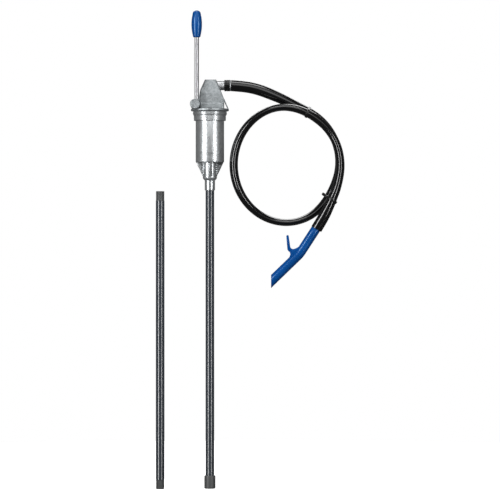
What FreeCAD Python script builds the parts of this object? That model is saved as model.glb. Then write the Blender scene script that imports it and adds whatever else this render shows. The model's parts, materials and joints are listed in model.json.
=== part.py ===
import FreeCAD, Part
import math
import os

V = FreeCAD.Vector
X_DIR = V(1, 0, 0)
Y_DIR = V(0, 1, 0)
Z_DIR = V(0, 0, 1)

# Hand-operated lever pump for a drum with a 2 inch bung. Millimetres, +Z up.
# The origin is on the pump's axis, in the plane of the shoulder that seats on the drum's bung.

# Driving dimensions: bung adapter
BUNG_THREAD_R = 29.8
BUNG_THREAD_LENGTH = 9.8
ADAPTER_WALL = 3.55
ADAPTER_RIM_PROUD = 1.7
ADAPTER_RIM_HEIGHT = 7.8
ADAPTER_RIM_ROUND = 1.2

# Driving dimensions: cylinder
CYLINDER_WALL = 2.75
CYLINDER_EDGE = 1.5
COUNTERBORE_STEP = 0.7
COUNTERBORE_BOTTOM = -11.0
CYLINDER_BOTTOM = -87.0
FLOOR_THICKNESS = 5.0
INLET_BOSS_WALL = 3.5
INLET_BOSS_BOTTOM = -117.0
NECK_WALL = 1.5
NECK_EDGE = 1.2
NECK_BOTTOM = -137.0
INLET_PORT_R = 9.5
INLET_PORT_DEPTH = 24.0
INLET_THROAT_R = 6.5
INLET_THROAT_LENGTH = 6.0
WEB_COUNT = 4
WEB_THICKNESS = 5.0
WEB_BOTTOM = -112.0
WEB_TURN = 6.0

# Driving dimensions: suction tubes
TUBE_R = 8.0
TUBE_WALL = 1.2
TUBE_SEAL_HEIGHT = 2.0
TUBE_SEAL_WIDTH = 1.5
COUPLING_WALL = 2.5
COUPLING_LENGTH = 24.0
COUPLING_BOTTOM = -690.0
COUPLING_SOCKET = 16.0
EXTENSION_X = -92.0
EXTENSION_TOP = -140.0
EXTENSION_LENGTH = 551.0
EXTENSION_THREAD_DEPTH = 0.6
EXTENSION_THREAD_LENGTH = 17.0

# Driving dimensions: head
FLANGE_PROUD = 8.75
FLANGE_THICKNESS = 4.4
GASKET_THICKNESS = 1.5
SPIGOT_LENGTH = 15.0
SPIGOT_WALL = 4.15
HEAD_TOP = 66.0
HEAD_LEFT = 18.5
HEAD_RIGHT = 26.3
HEAD_HALF_DEPTH = 17.0
HEAD_TOP_HALF_DEPTH = 11.0
HEAD_TAPER_START = 40.0
HEAD_WALL = 3.5
BAND_TOP = 22.6
BAND_PROUD = 2.5
BAND_CHAMFER = 1.6
HEAD_CORNER = 3.0
HEAD_RIGHT_BULGE = 26.6
HEAD_RIGHT_BULGE_Z = 29.0
HEAD_RIGHT_SHOULDER = 20.2
HEAD_RIGHT_SHOULDER_Z = 46.0
HEAD_LEFT_BULGE = 20.5
HEAD_LEFT_BULGE_Z = 32.0
HEAD_LEFT_SHOULDER = 17.6
HEAD_LEFT_SHOULDER_Z = 47.0
HEAD_TOP_RIGHT = 11.5
HEAD_TOP_LEFT = 9.1
FLANGE_EDGE = 1.0
BOSS_WEB_TOP = 33.0
BOSS_WEB_END = -10.0
STRUT_WIDTH = 2.4
STRUT_TOP = 31.0
STRUT_HALF_DEPTH = 5.0

# Driving dimensions: spout and hose
SPOUT_Z = 55.4
SPOUT_R = 8.6
SPOUT_BORE_R = 6.5
SPOUT_INNER_END = 9.0
CUFF_START = 26.8
CUFF_LENGTH = 12.2
CUFF_R = 10.65
HOSE_R = 10.5

# Driving dimensions: lever
SHAFT_X = -27.2
SHAFT_Z = 20.2
SHAFT_R = 4.5
BOSS_R = 9.0
BUSH_WALL = 2.5
FRONT_BUSH_LENGTH = 5.2
REAR_HOLE_DEPTH = 17.0
HUB_R = 9.2
HUB_WIDTH = 13.5
HUB_GAP = 1.0
LEVER_ROD_R = 4.0
LEVER_ROD_X = -23.9
LEVER_ROD_TOP = 176.8
LEVER_SOCKET_R = 6.3
GRIP_LENGTH = 49.5
GRIP_PAST_ROD = 15.5
GRIP_R = 9.7
GRIP_NECK_R = 7.0
GRIP_CROWN_R = 7.0
GRIP_SHOULDER_R = 4.9
GRIP_FOOT_R = 6.0
GRIP_CAP_R = 2.0
ROD_CHAMFER = 0.6
HUB_FACE = 2.0
SET_SCREW_R = 2.5

# Driving dimensions: crank and piston
CRANK_SWING = 30.0
FORK_HALF_WIDTH = 9.5
FORK_PRONG = 4.0
FORK_ROOT_LENGTH = 15.0
FORK_TIP_HALF_HEIGHT = 7.2
FORK_ROOT_HALF_HEIGHT = 3.4
FORK_HUB_WALL = 2.1
PRONG_TAPER_START = 10.0
PRONG_TAPER_END = 22.0
POCKET_START = 1.8
POCKET_HALF_HEIGHT = 5.2
CROSS_PIN_R = 3.0
CROSS_PIN_OVERHANG = 2.0
CLIP_THICKNESS = 1.0
CLIP_WIDTH = 1.4
LOCK_PIN_R = 1.5
PISTON_ROD_R = 4.0
ROD_HEAD_R = 5.2
ROD_HEAD_HALF_THICKNESS = 5.0
ROD_HEAD_BELOW_PIN = 8.0
ROD_HEAD_ABOVE_PIN = 6.5
ROD_THREAD_R = 3.0
ROD_SHOULDER = -50.0
PISTON_CLEARANCE = 0.4
PISTON_THICKNESS = 8.0
PISTON_HUB_R = 6.0
CUP_THICKNESS = 3.0
CUP_WASHER_INSET = 4.1
CUP_WASHER_THICKNESS = 2.0
NUT_ACROSS_FLATS = 11.0
NUT_HEIGHT = 5.5
PORT_COUNT = 6
PORT_R = 3.0
PORT_CIRCLE_R = 11.5
VALVE_INSET = 5.6
VALVE_THICKNESS = 1.6
VALVE_LIFT = 3.0
VALVE_STOP_R = 11.0
VALVE_STOP_THICKNESS = 2.0
GUIDE_THICKNESS = 4.0
GUIDE_HUB_R = 7.5
GUIDE_HUB_LENGTH = 8.0
GUIDE_BUSH_R = 6.0
GUIDE_HOLES = 4
GUIDE_HOLE_R = 4.5
GUIDE_HOLE_INSET = 9.15

# Driving dimensions: foot valve
SEAT_HEIGHT = 2.5
SEAT_BORE_R = 5.5
FOOT_DISC_R = 8.3
FOOT_DISC_THICKNESS = 2.0
FOOT_FIN_COUNT = 3
FOOT_FIN_LENGTH = 7.0
FOOT_FIN_THICKNESS = 1.4
FOOT_LIFT = 4.0
CAGE_HEIGHT = 3.5
CAGE_BORE_R = 7.2
CAGE_BAR = 3.0

# Driving dimensions: nozzle and cable ties
NOZZLE_R = 8.8
NOZZLE_BORE_R = 6.2
NOZZLE_SHIFT_X = -0.7
NOZZLE_SHIFT_Z = 0.4
NOZZLE_FIRST_ANGLE = 33.0
NOZZLE_FIRST_LENGTH = 54.8
NOZZLE_LAST_ANGLE = 46.0
NOZZLE_LAST_LENGTH = 73.3
NOZZLE_BEND_REACH = 5.5
NOZZLE_TIP_X = 112.9
HOOK_X = 143.2
HOOK_TOP = -221.3
HOOK_ARM = 4.5
HOOK_DEPTH = 25.5
HOOK_HALF_DEPTH = 4.0
TIE_THICKNESS = 1.4
TIE_WIDTH = 4.8
TIE_LOCK = 4.0
TIE_STUB = 1.5
TIE_STUB_HALF_THICKNESS = 0.7
TIE_LOCK_HALF_WIDTH = 3.5
UPPER_TIE_TURN = -66.5
UPPER_TIE_OFFSET = -2.5
UPPER_TIE_HALF_WIDTH = 9.3
UPPER_TIE_BACK = 14.6
UPPER_TIE_FRONT = -42.0
LOWER_TIE_TURN = 36.0
LOWER_TIE_OFFSET = -4.0
LOWER_TIE_HALF_WIDTH = 12.0
LOWER_TIE_BACK = 7.0
LOWER_TIE_FRONT = -50.0

# Clearances
PRESS_CLEARANCE = 0.02
THREAD_CLEARANCE = 0.05
RUNNING_CLEARANCE = 0.04
CUP_CLEARANCE = 0.08
LOOSE_CLEARANCE = 0.4
POCKET_CLEARANCE = 0.8
SEATING_GAP = 0.1

# Hose route: the points of its lead and tail, and the turns of the coil between them
HOSE_START = V(CUFF_START + CUFF_LENGTH, 0, SPOUT_Z)
LEAD_POINTS = [
    HOSE_START,
    V(65, 0, 53.8),
    V(91, 0, 47.9),
    V(116, 0, 38.2),
    V(140.5, 0, 27.3),
    V(164.5, 0, 15.4),
]
TAIL_POINTS = [
    V(226, -36, -153.5),
    V(217.5, -37, -172.5),
    V(207.5, -37, -192),
    V(196.1, -36.5, -210.3),
]
COIL_CENTRE = V(142.5, 0, -90.7)
COIL_HALF_WIDTH = 98.3
COIL_HALF_HEIGHT = 106.8
COIL_BAND = 8.8
COIL_BACK = 13.5
COIL_FRONT = -49.5
COIL_ROUND = 5.0

# Sizes worked out from the driving dimensions
CYLINDER_R = BUNG_THREAD_R - ADAPTER_WALL
ADAPTER_RIM_R = BUNG_THREAD_R + ADAPTER_RIM_PROUD
BORE_R = CYLINDER_R - CYLINDER_WALL
COUNTERBORE_R = BORE_R + COUNTERBORE_STEP
SPIGOT_R = COUNTERBORE_R - THREAD_CLEARANCE
SPIGOT_BORE_R = SPIGOT_R - SPIGOT_WALL
FLANGE_R = CYLINDER_R + FLANGE_PROUD
GUIDE_HOLE_CIRCLE_R = SPIGOT_R - GUIDE_HOLE_INSET
PISTON_R = BORE_R - PISTON_CLEARANCE
VALVE_R = PISTON_R - VALVE_INSET
CUP_WASHER_R = PISTON_R - CUP_WASHER_INSET
SOCKET_R = TUBE_R + THREAD_CLEARANCE
NECK_R = TUBE_R + NECK_WALL
INLET_BOSS_R = NECK_R + INLET_BOSS_WALL
COUPLING_R = TUBE_R + COUPLING_WALL
EXTENSION_THREAD_R = TUBE_R - EXTENSION_THREAD_DEPTH
FOOT_SOCKET_R = EXTENSION_THREAD_R + 2 * THREAD_CLEARANCE
BUSH_R = SHAFT_R + BUSH_WALL
FORK_HUB_R = SHAFT_R + FORK_HUB_WALL
CRANK_ARM = -SHAFT_X
FORK_LENGTH = CRANK_ARM / math.cos(math.radians(CRANK_SWING)) + CROSS_PIN_R

# Places worked out from the driving dimensions
FLANGE_BOTTOM = ADAPTER_RIM_HEIGHT + 0.2
FLANGE_TOP = FLANGE_BOTTOM + FLANGE_THICKNESS
CYLINDER_TOP = FLANGE_BOTTOM - GASKET_THICKNESS
SPIGOT_BOTTOM = FLANGE_BOTTOM - SPIGOT_LENGTH
BORE_FLOOR = CYLINDER_BOTTOM + FLOOR_THICKNESS
SEAT_BOTTOM = BORE_FLOOR - INLET_PORT_DEPTH
SOCKET_TOP = SEAT_BOTTOM - INLET_THROAT_LENGTH
TUBE_TOP = SOCKET_TOP - TUBE_SEAL_HEIGHT
TUBE_BOTTOM = COUPLING_BOTTOM + COUPLING_SOCKET
GRIP_TOP = LEVER_ROD_TOP + GRIP_PAST_ROD
GRIP_BOTTOM = GRIP_TOP - GRIP_LENGTH
PIN_Z = SHAFT_Z - CRANK_ARM * math.tan(math.radians(CRANK_SWING))
BAND_HALF_DEPTH = HEAD_HALF_DEPTH + BAND_PROUD
HUB_BACK = -BAND_HALF_DEPTH - HUB_GAP
HUB_FRONT = HUB_BACK - HUB_WIDTH
LEVER_Y = (HUB_BACK + HUB_FRONT) / 2
ROD_SEAT = SHAFT_Z + SHAFT_R + ROD_CHAMFER
POCKET_HALF_WIDTH = FORK_HALF_WIDTH + POCKET_CLEARANCE
SEAL_BACK = -POCKET_HALF_WIDTH - FRONT_BUSH_LENGTH
GUIDE_TOP = SPIGOT_BOTTOM
GUIDE_BOTTOM = GUIDE_TOP - GUIDE_THICKNESS
VALVE_STOP_BOTTOM = ROD_SHOULDER - VALVE_STOP_THICKNESS
PISTON_TOP = VALVE_STOP_BOTTOM - VALVE_LIFT - VALVE_THICKNESS - LOOSE_CLEARANCE
PISTON_BOTTOM = PISTON_TOP - PISTON_THICKNESS
CUP_BOTTOM = PISTON_BOTTOM - CUP_THICKNESS
CUP_WASHER_BOTTOM = CUP_BOTTOM - CUP_WASHER_THICKNESS
NUT_BOTTOM = CUP_WASHER_BOTTOM - NUT_HEIGHT
SEAT_TOP = SEAT_BOTTOM + SEAT_HEIGHT
FOOT_DISC_TOP = SEAT_TOP + SEATING_GAP + FOOT_DISC_THICKNESS
CAGE_BOTTOM = FOOT_DISC_TOP + FOOT_LIFT + LOOSE_CLEARANCE


# Shape helpers
def rod(radius, z0, z1, x=0, y=0):
    """A cylinder along Z."""
    return Part.makeCylinder(radius, z1 - z0, V(x, y, z0), Z_DIR)


def ring(outer, inner, z0, z1, x=0, y=0):
    """A plain ring along Z."""
    return rod(outer, z0, z1, x, y).cut(rod(inner, z0 - 1, z1 + 1, x, y))


def cross_rod(radius, y0, y1, x=SHAFT_X, z=SHAFT_Z):
    """A cylinder along Y."""
    return Part.makeCylinder(radius, y1 - y0, V(x, y0, z), Y_DIR)


def cross_ring(outer, inner, y0, y1, x=SHAFT_X, z=SHAFT_Z):
    """A plain ring along Y."""
    return cross_rod(outer, y0, y1, x, z).cut(cross_rod(inner, y0 - 1, y1 + 1, x, z))


def box(x0, x1, y0, y1, z0, z1):
    return Part.makeBox(x1 - x0, y1 - y0, z1 - z0, V(x0, y0, z0))


def prism_xz(points, half_depth):
    """An outline in the XZ plane, drawn out to both sides of it."""
    corners = [V(x, -half_depth, z) for x, z in points]
    face = Part.Face(Part.makePolygon(corners + corners[:1]))
    return face.extrude(V(0, 2 * half_depth, 0))


def prism_yz(points, x0, x1):
    """An outline in the YZ plane, drawn out from x0 to x1."""
    corners = [V(x0, y, z) for y, z in points]
    face = Part.Face(Part.makePolygon(corners + corners[:1]))
    return face.extrude(V(x1 - x0, 0, 0))


def turned(edges):
    """A profile of edges in the XZ plane, turned about the Z axis."""
    face = Part.Face(Part.Wire(edges))
    return face.revolve(V(0, 0, 0), Z_DIR, 360)


def turned_outline(points):
    """A straight-sided profile given as radius and height, turned about the Z axis."""
    corners = [V(r, 0, z) for r, z in points]
    return turned([Part.makePolygon(corners + corners[:1])])


def end_edges(body):
    """The flat round edges of a piece that stands along Z."""
    return [e for e in body.Edges if e.BoundBox.ZLength < 0.01]


def hexagon(across_flats, z0, z1):
    radius = across_flats / math.sqrt(3)
    turns = [math.radians(60 * i) for i in range(7)]
    corners = [V(radius * math.cos(a), radius * math.sin(a), z0) for a in turns]
    return Part.Face(Part.makePolygon(corners)).extrude(V(0, 0, z1 - z0))


def ring_of_holes(count, radius, circle_r, z0, z1):
    holes = []
    for i in range(count):
        angle = 2 * math.pi * i / count
        x = circle_r * math.cos(angle)
        y = circle_r * math.sin(angle)
        holes.append(rod(radius, z0, z1, x, y))
    return Part.makeCompound(holes)


def joined(first, others):
    return first.multiFuse(others).removeSplitter()


def tube_path(points, name):
    """Straight runs joined by tangent arcs, each as large as its two runs allow."""
    edges = []
    start = points[0]
    radii = []
    for before, corner, after in zip(points, points[1:], points[2:]):
        back = before.sub(corner)
        ahead = after.sub(corner)
        half_turn = (math.pi - back.getAngle(ahead)) / 2
        reach = 0.45 * min(back.Length, ahead.Length)
        radii.append(reach / math.tan(half_turn))
        back.normalize()
        ahead.normalize()
        arc_start = corner.add(back.multiply(reach))
        arc_end = corner.add(V(ahead).multiply(reach))
        bisector = arc_start.add(arc_end).multiply(0.5).sub(corner)
        to_centre = radii[-1] / math.cos(half_turn)
        middle_reach = to_centre - radii[-1]
        bisector.normalize()
        middle = corner.add(bisector.multiply(middle_reach))
        edges.append(Part.LineSegment(start, arc_start).toShape())
        edges.append(Part.Arc(arc_start, middle, arc_end).toShape())
        start = arc_end
    edges.append(Part.LineSegment(start, points[-1]).toShape())
    print(name, "arc radii", [round(r) for r in radii])
    return Part.Wire(edges)


def swept(points, radius, name):
    """A round solid tube along a route of points."""
    path = tube_path(points, name)
    direction = points[1].sub(points[0])
    circle = Part.Wire(Part.makeCircle(radius, points[0], direction))
    solid = path.makePipeShell([circle], True, True)
    expected = math.pi * radius**2 * path.Length
    print(name, "length", round(path.Length, 1), "volume ratio", round(solid.Volume / expected, 4))
    return solid


# Head
def head_outline(inset):
    """The head's front outline, moved in by a wall where inset isn't 0."""
    top = HEAD_TOP - inset
    bottom = FLANGE_TOP - 0.4
    return [
        (-HEAD_LEFT + inset, bottom),
        (HEAD_RIGHT - inset, bottom),
        (HEAD_RIGHT_BULGE - inset, HEAD_RIGHT_BULGE_Z - 0.2 * inset),
        (HEAD_RIGHT_SHOULDER - inset, HEAD_RIGHT_SHOULDER_Z - 0.2 * inset),
        (HEAD_TOP_RIGHT - 0.8 * inset, top),
        (0.8 * inset - HEAD_TOP_LEFT, top),
        (inset - HEAD_LEFT_SHOULDER, HEAD_LEFT_SHOULDER_Z - 0.2 * inset),
        (inset - HEAD_LEFT_BULGE, HEAD_LEFT_BULGE_Z),
    ]


def head_side(inset):
    """The head's outline from the side."""
    wide = HEAD_HALF_DEPTH - inset
    narrow = HEAD_TOP_HALF_DEPTH - inset
    top = HEAD_TOP - inset
    right = [(wide, FLANGE_BOTTOM), (wide, HEAD_TAPER_START), (narrow, top)]
    left = [(-y, z) for y, z in reversed(right)]
    return right + left


def head_body():
    body = prism_xz(head_outline(0), HEAD_HALF_DEPTH)
    body = body.common(prism_yz(head_side(0), -60, 60))
    upright = [e for e in body.Edges if e.BoundBox.ZLength > 5 and abs(e.BoundBox.Center.y) > 9]
    return body.makeFillet(HEAD_CORNER, upright)


def head_band():
    """The slightly proud box band at the foot of the head."""
    band = box(-HEAD_LEFT, HEAD_RIGHT, -BAND_HALF_DEPTH, BAND_HALF_DEPTH, FLANGE_BOTTOM, BAND_TOP)
    corners = [e for e in band.Edges if e.BoundBox.ZLength > 5]
    band = band.makeFillet(HEAD_CORNER, corners)
    rim = [e for e in band.Edges if e.BoundBox.ZMin > BAND_TOP - 0.01]
    return band.makeChamfer(BAND_CHAMFER, rim)


def head_strut():
    """The thin brace from the head's shoulder to the flange's rim."""
    half = STRUT_WIDTH / 2
    top_x = HEAD_RIGHT - 0.9
    foot_x = FLANGE_R - 1.2
    foot_z = FLANGE_TOP - 1
    outline = [
        (top_x - half, STRUT_TOP),
        (top_x + half, STRUT_TOP),
        (foot_x + half, foot_z),
        (foot_x - half, foot_z),
    ]
    return prism_xz(outline, STRUT_HALF_DEPTH)


def shaft_boss():
    """The boss that carries the crank shaft, and the web that joins it to the head."""
    boss = cross_rod(BOSS_R, -BAND_HALF_DEPTH, BAND_HALF_DEPTH)
    top = SHAFT_Z + BOSS_R
    low = FLANGE_TOP - 1
    web = [
        (SHAFT_X, top),
        (-HEAD_LEFT_BULGE, BOSS_WEB_TOP),
        (BOSS_WEB_END, BOSS_WEB_TOP),
        (BOSS_WEB_END, low),
        (SHAFT_X, low),
    ]
    return boss.fuse(prism_xz(web, HEAD_HALF_DEPTH - 1))


def fork_pocket():
    """The room that the crank fork swings in."""
    x0 = SHAFT_X - POCKET_START
    x1 = HEAD_WALL + 1 - HEAD_LEFT
    near = POCKET_HALF_HEIGHT
    far = near + (x1 - x0) * math.tan(math.radians(CRANK_SWING)) + POCKET_CLEARANCE
    wedge = [(x0, SHAFT_Z + near), (x1, SHAFT_Z + far), (x1, SHAFT_Z - far), (x0, SHAFT_Z - near)]
    round_end = cross_rod(FORK_HUB_R + POCKET_CLEARANCE, -POCKET_HALF_WIDTH, POCKET_HALF_WIDTH)
    return prism_xz(wedge, POCKET_HALF_WIDTH).fuse(round_end)


def head_casting():
    flange = rod(FLANGE_R, FLANGE_BOTTOM, FLANGE_TOP)
    flange = flange.makeFillet(FLANGE_EDGE, end_edges(flange))
    spigot = rod(SPIGOT_R, SPIGOT_BOTTOM, FLANGE_BOTTOM + 1)
    solid = joined(head_body(), [head_band(), flange, spigot, shaft_boss(), head_strut()])
    cavity = prism_xz(head_outline(HEAD_WALL), HEAD_HALF_DEPTH - HEAD_WALL)
    cavity = cavity.common(prism_yz(head_side(HEAD_WALL), -60, 60))
    solid = solid.cut(cavity)
    solid = solid.cut(rod(SPIGOT_BORE_R, SPIGOT_BOTTOM - 1, FLANGE_TOP + 1))
    solid = solid.cut(fork_pocket())
    solid = solid.cut(cross_rod(BUSH_R + PRESS_CLEARANCE, -BAND_HALF_DEPTH - 1, -FORK_HALF_WIDTH))
    solid = solid.cut(cross_rod(BUSH_R + PRESS_CLEARANCE, FORK_HALF_WIDTH, REAR_HOLE_DEPTH))
    hub_relief = cross_rod(HUB_R + 0.9, -FLANGE_R - 1, -BAND_HALF_DEPTH)
    solid = solid.cut(hub_relief)
    spout_hole = Part.makeCylinder(SPOUT_R + THREAD_CLEARANCE, 30, V(2, 0, SPOUT_Z), X_DIR)
    return solid.cut(spout_hole)


def head_gasket():
    return ring(CYLINDER_R - 0.1, SPIGOT_R + LOOSE_CLEARANCE, CYLINDER_TOP, FLANGE_BOTTOM)


def spout_nipple():
    length = CUFF_START + CUFF_LENGTH - SPOUT_INNER_END
    start = V(SPOUT_INNER_END, 0, SPOUT_Z)
    body = Part.makeCylinder(SPOUT_R, length, start, X_DIR)
    return body.cut(Part.makeCylinder(SPOUT_BORE_R, length, start, X_DIR))


# Cylinder, adapter and suction tube
def bung_adapter():
    inner = CYLINDER_R + THREAD_CLEARANCE
    flat = ADAPTER_RIM_R - ADAPTER_RIM_ROUND
    corners = [
        V(flat, 0, ADAPTER_RIM_HEIGHT),
        V(inner, 0, ADAPTER_RIM_HEIGHT),
        V(inner, 0, -BUNG_THREAD_LENGTH),
        V(BUNG_THREAD_R, 0, -BUNG_THREAD_LENGTH),
        V(BUNG_THREAD_R, 0, 0),
        V(flat, 0, 0),
    ]
    edges = [Part.LineSegment(a, b).toShape() for a, b in zip(corners, corners[1:])]
    rim = Part.Arc(corners[-1], V(ADAPTER_RIM_R, 0, ADAPTER_RIM_HEIGHT / 2), corners[0])
    return turned(edges + [rim.toShape()])


def inlet_webs():
    """Cast webs that fan out from the inlet boss to the cylinder's wall."""
    half = WEB_THICKNESS / 2
    outline = [
        (INLET_BOSS_R - 2, CYLINDER_BOTTOM + 1),
        (CYLINDER_R - 0.6, CYLINDER_BOTTOM + 1),
        (CYLINDER_R - 0.6, CYLINDER_BOTTOM - 0.5),
        (INLET_BOSS_R, WEB_BOTTOM),
        (INLET_BOSS_R - 2, WEB_BOTTOM),
    ]
    webs = []
    for i in range(WEB_COUNT):
        web = prism_xz(outline, half)
        web.rotate(V(0, 0, 0), Z_DIR, WEB_TURN + 360 * i / WEB_COUNT)
        webs.append(web)
    return webs


def cylinder_casting():
    outside = turned_outline([
        (0, CYLINDER_TOP),
        (CYLINDER_R, CYLINDER_TOP),
        (CYLINDER_R, CYLINDER_BOTTOM + CYLINDER_EDGE),
        (CYLINDER_R - CYLINDER_EDGE, CYLINDER_BOTTOM),
        (INLET_BOSS_R, CYLINDER_BOTTOM),
        (INLET_BOSS_R, INLET_BOSS_BOTTOM),
        (NECK_R, INLET_BOSS_BOTTOM - INLET_BOSS_WALL),
        (NECK_R, NECK_BOTTOM + NECK_EDGE),
        (NECK_R - NECK_EDGE, NECK_BOTTOM),
        (0, NECK_BOTTOM),
    ])
    solid = joined(outside, inlet_webs())
    solid = solid.cut(rod(COUNTERBORE_R, COUNTERBORE_BOTTOM, CYLINDER_TOP + 1))
    solid = solid.cut(rod(BORE_R, BORE_FLOOR, CYLINDER_TOP))
    solid = solid.cut(rod(INLET_PORT_R, SEAT_BOTTOM, BORE_FLOOR + 1))
    solid = solid.cut(rod(INLET_THROAT_R, SOCKET_TOP - 1, SEAT_BOTTOM + 1))
    return solid.cut(rod(SOCKET_R, NECK_BOTTOM - 1, SOCKET_TOP))


def suction_tube():
    return ring(TUBE_R, TUBE_R - TUBE_WALL, TUBE_BOTTOM, TUBE_TOP)


def tube_seal():
    return ring(TUBE_R, TUBE_R - TUBE_SEAL_WIDTH, TUBE_TOP, SOCKET_TOP)


def tube_coupling():
    """The sleeve on the tube's foot, whose lower half takes a threaded end."""
    top = COUPLING_BOTTOM + COUPLING_LENGTH
    body = rod(COUPLING_R, COUPLING_BOTTOM, top)
    body = body.makeFillet(1.0, end_edges(body))
    body = body.cut(rod(SOCKET_R, TUBE_BOTTOM, top + 1))
    return body.cut(rod(FOOT_SOCKET_R, COUPLING_BOTTOM - 1, TUBE_BOTTOM + 1))


def extension_tube():
    """The second suction tube, threaded at both ends to screw into the coupling."""
    bottom = EXTENSION_TOP - EXTENSION_LENGTH
    bore = TUBE_R - TUBE_WALL
    thread_bottom = EXTENSION_TOP - EXTENSION_THREAD_LENGTH
    foot_top = bottom + EXTENSION_THREAD_LENGTH
    body = rod(EXTENSION_THREAD_R, bottom, EXTENSION_TOP, EXTENSION_X)
    body = body.makeChamfer(0.4, end_edges(body))
    body = body.fuse(rod(TUBE_R, foot_top, thread_bottom, EXTENSION_X))
    return body.cut(rod(bore, bottom - 1, EXTENSION_TOP + 1, EXTENSION_X))


# Lever and crank
def lever_rod():
    body = rod(LEVER_ROD_R, ROD_SEAT, LEVER_ROD_TOP, LEVER_ROD_X, LEVER_Y)
    return body.makeChamfer(ROD_CHAMFER, end_edges(body))


def lever_grip():
    """A barrel-shaped grip pushed over the end of the rod."""
    neck = V(GRIP_NECK_R, 0, GRIP_BOTTOM + 0.05 * GRIP_LENGTH)
    crown = V(GRIP_CROWN_R, 0, GRIP_TOP - 0.08 * GRIP_LENGTH)
    belly = V(GRIP_R, 0, GRIP_TOP - 0.46 * GRIP_LENGTH)
    foot = V(GRIP_FOOT_R, 0, GRIP_BOTTOM)
    cap = V(GRIP_CAP_R, 0, GRIP_TOP)
    top = V(0, 0, GRIP_TOP)
    edges = [
        Part.LineSegment(cap, top).toShape(),
        Part.LineSegment(top, V(0, 0, GRIP_BOTTOM)).toShape(),
        Part.LineSegment(V(0, 0, GRIP_BOTTOM), foot).toShape(),
        Part.LineSegment(foot, neck).toShape(),
        Part.Arc(neck, belly, crown).toShape(),
        Part.Arc(crown, V(GRIP_SHOULDER_R, 0, GRIP_TOP - 0.025 * GRIP_LENGTH), cap).toShape(),
    ]
    body = turned(edges)
    body.translate(V(LEVER_ROD_X, LEVER_Y, 0))
    hole_r = LEVER_ROD_R + PRESS_CLEARANCE
    socket = rod(hole_r, GRIP_BOTTOM - 1, LEVER_ROD_TOP, LEVER_ROD_X, LEVER_Y)
    return body.cut(socket)


def lever_hub():
    top = SHAFT_Z + HUB_R
    wheel = cross_rod(HUB_R, HUB_FRONT, HUB_BACK)
    wheel = wheel.makeFillet(1.0, [e for e in wheel.Edges if e.BoundBox.YLength < 0.01])
    socket_boss = rod(LEVER_SOCKET_R, SHAFT_Z, top, LEVER_ROD_X, LEVER_Y)
    solid = joined(wheel, [socket_boss])
    solid = solid.cut(cross_rod(SHAFT_R + PRESS_CLEARANCE, HUB_FRONT + HUB_FACE, HUB_BACK + 1))
    hole_r = LEVER_ROD_R + PRESS_CLEARANCE
    solid = solid.cut(rod(hole_r, ROD_SEAT, top + 1, LEVER_ROD_X, LEVER_Y))
    rim = V(SHAFT_X - HUB_R, LEVER_Y, SHAFT_Z)
    return solid.cut(Part.makeCylinder(SET_SCREW_R + PRESS_CLEARANCE, HUB_R, rim, X_DIR))


def hub_set_screw():
    """The grub screw that locks the hub on the shaft, with its hexagon socket."""
    length = HUB_R - 0.6 - SHAFT_R - SEATING_GAP
    outer_end = V(SHAFT_X - HUB_R + 0.6, LEVER_Y, SHAFT_Z)
    body = Part.makeCylinder(SET_SCREW_R, length, outer_end, X_DIR)
    return body.cut(Part.makeCylinder(SET_SCREW_R / 2, length / 2, outer_end, X_DIR))


def lock_pin_hole(radius):
    return rod(radius, SHAFT_Z - FORK_HUB_R - 1, SHAFT_Z + FORK_HUB_R + 1, SHAFT_X, 0)


def swing_to_rest(shape):
    """Turn a crank piece drawn level down to where it stands with the lever upright."""
    shape.rotate(V(SHAFT_X, 0, SHAFT_Z), Y_DIR, CRANK_SWING)
    return shape


def crank_shaft():
    shaft = cross_rod(SHAFT_R, HUB_FRONT + HUB_FACE + 0.2, REAR_HOLE_DEPTH - 0.3)
    shaft = shaft.makeChamfer(0.5, [e for e in shaft.Edges if e.BoundBox.YLength < 0.01])
    return shaft.cut(swing_to_rest(lock_pin_hole(LOCK_PIN_R + PRESS_CLEARANCE)))


def crank_fork():
    """The forked arm inside the head: its slots carry the piston rod's cross pin."""
    hub = cross_rod(FORK_HUB_R, -FORK_HALF_WIDTH, FORK_HALF_WIDTH)
    root_low = SHAFT_Z - FORK_ROOT_HALF_HEIGHT
    root_high = SHAFT_Z + FORK_ROOT_HALF_HEIGHT
    root_end = SHAFT_X + FORK_ROOT_LENGTH
    root = box(SHAFT_X, root_end, -FORK_HALF_WIDTH, FORK_HALF_WIDTH, root_low, root_high)
    lower = [
        (SHAFT_X + PRONG_TAPER_START, root_low),
        (SHAFT_X + PRONG_TAPER_END, SHAFT_Z - FORK_TIP_HALF_HEIGHT),
        (SHAFT_X + FORK_LENGTH, SHAFT_Z - FORK_TIP_HALF_HEIGHT),
    ]
    upper = [(x, 2 * SHAFT_Z - z) for x, z in reversed(lower)]
    prong = prism_xz(lower + upper, FORK_PRONG / 2)
    offset = FORK_HALF_WIDTH - FORK_PRONG / 2
    prongs = [prong.translated(V(0, side * offset, 0)) for side in (-1, 1)]
    fork = joined(hub, [root] + prongs)
    slot_half = CROSS_PIN_R + 1.0
    slot_start = -CROSS_PIN_R - 1.0
    side = FORK_HALF_WIDTH + 1
    slot = box(slot_start, FORK_LENGTH, -side, side, SHAFT_Z - slot_half, SHAFT_Z + slot_half)
    fork = fork.cut(slot)
    fork = fork.cut(cross_rod(SHAFT_R + PRESS_CLEARANCE, -side, side))
    return swing_to_rest(fork.cut(lock_pin_hole(LOCK_PIN_R + PRESS_CLEARANCE)))


def crank_lock_pin():
    pin = rod(LOCK_PIN_R, SHAFT_Z - FORK_HUB_R + 0.2, SHAFT_Z + FORK_HUB_R - 0.2, SHAFT_X, 0)
    return swing_to_rest(pin)


def shaft_bush_front():
    return cross_ring(BUSH_R, SHAFT_R + RUNNING_CLEARANCE, SEAL_BACK, -POCKET_HALF_WIDTH)


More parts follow.
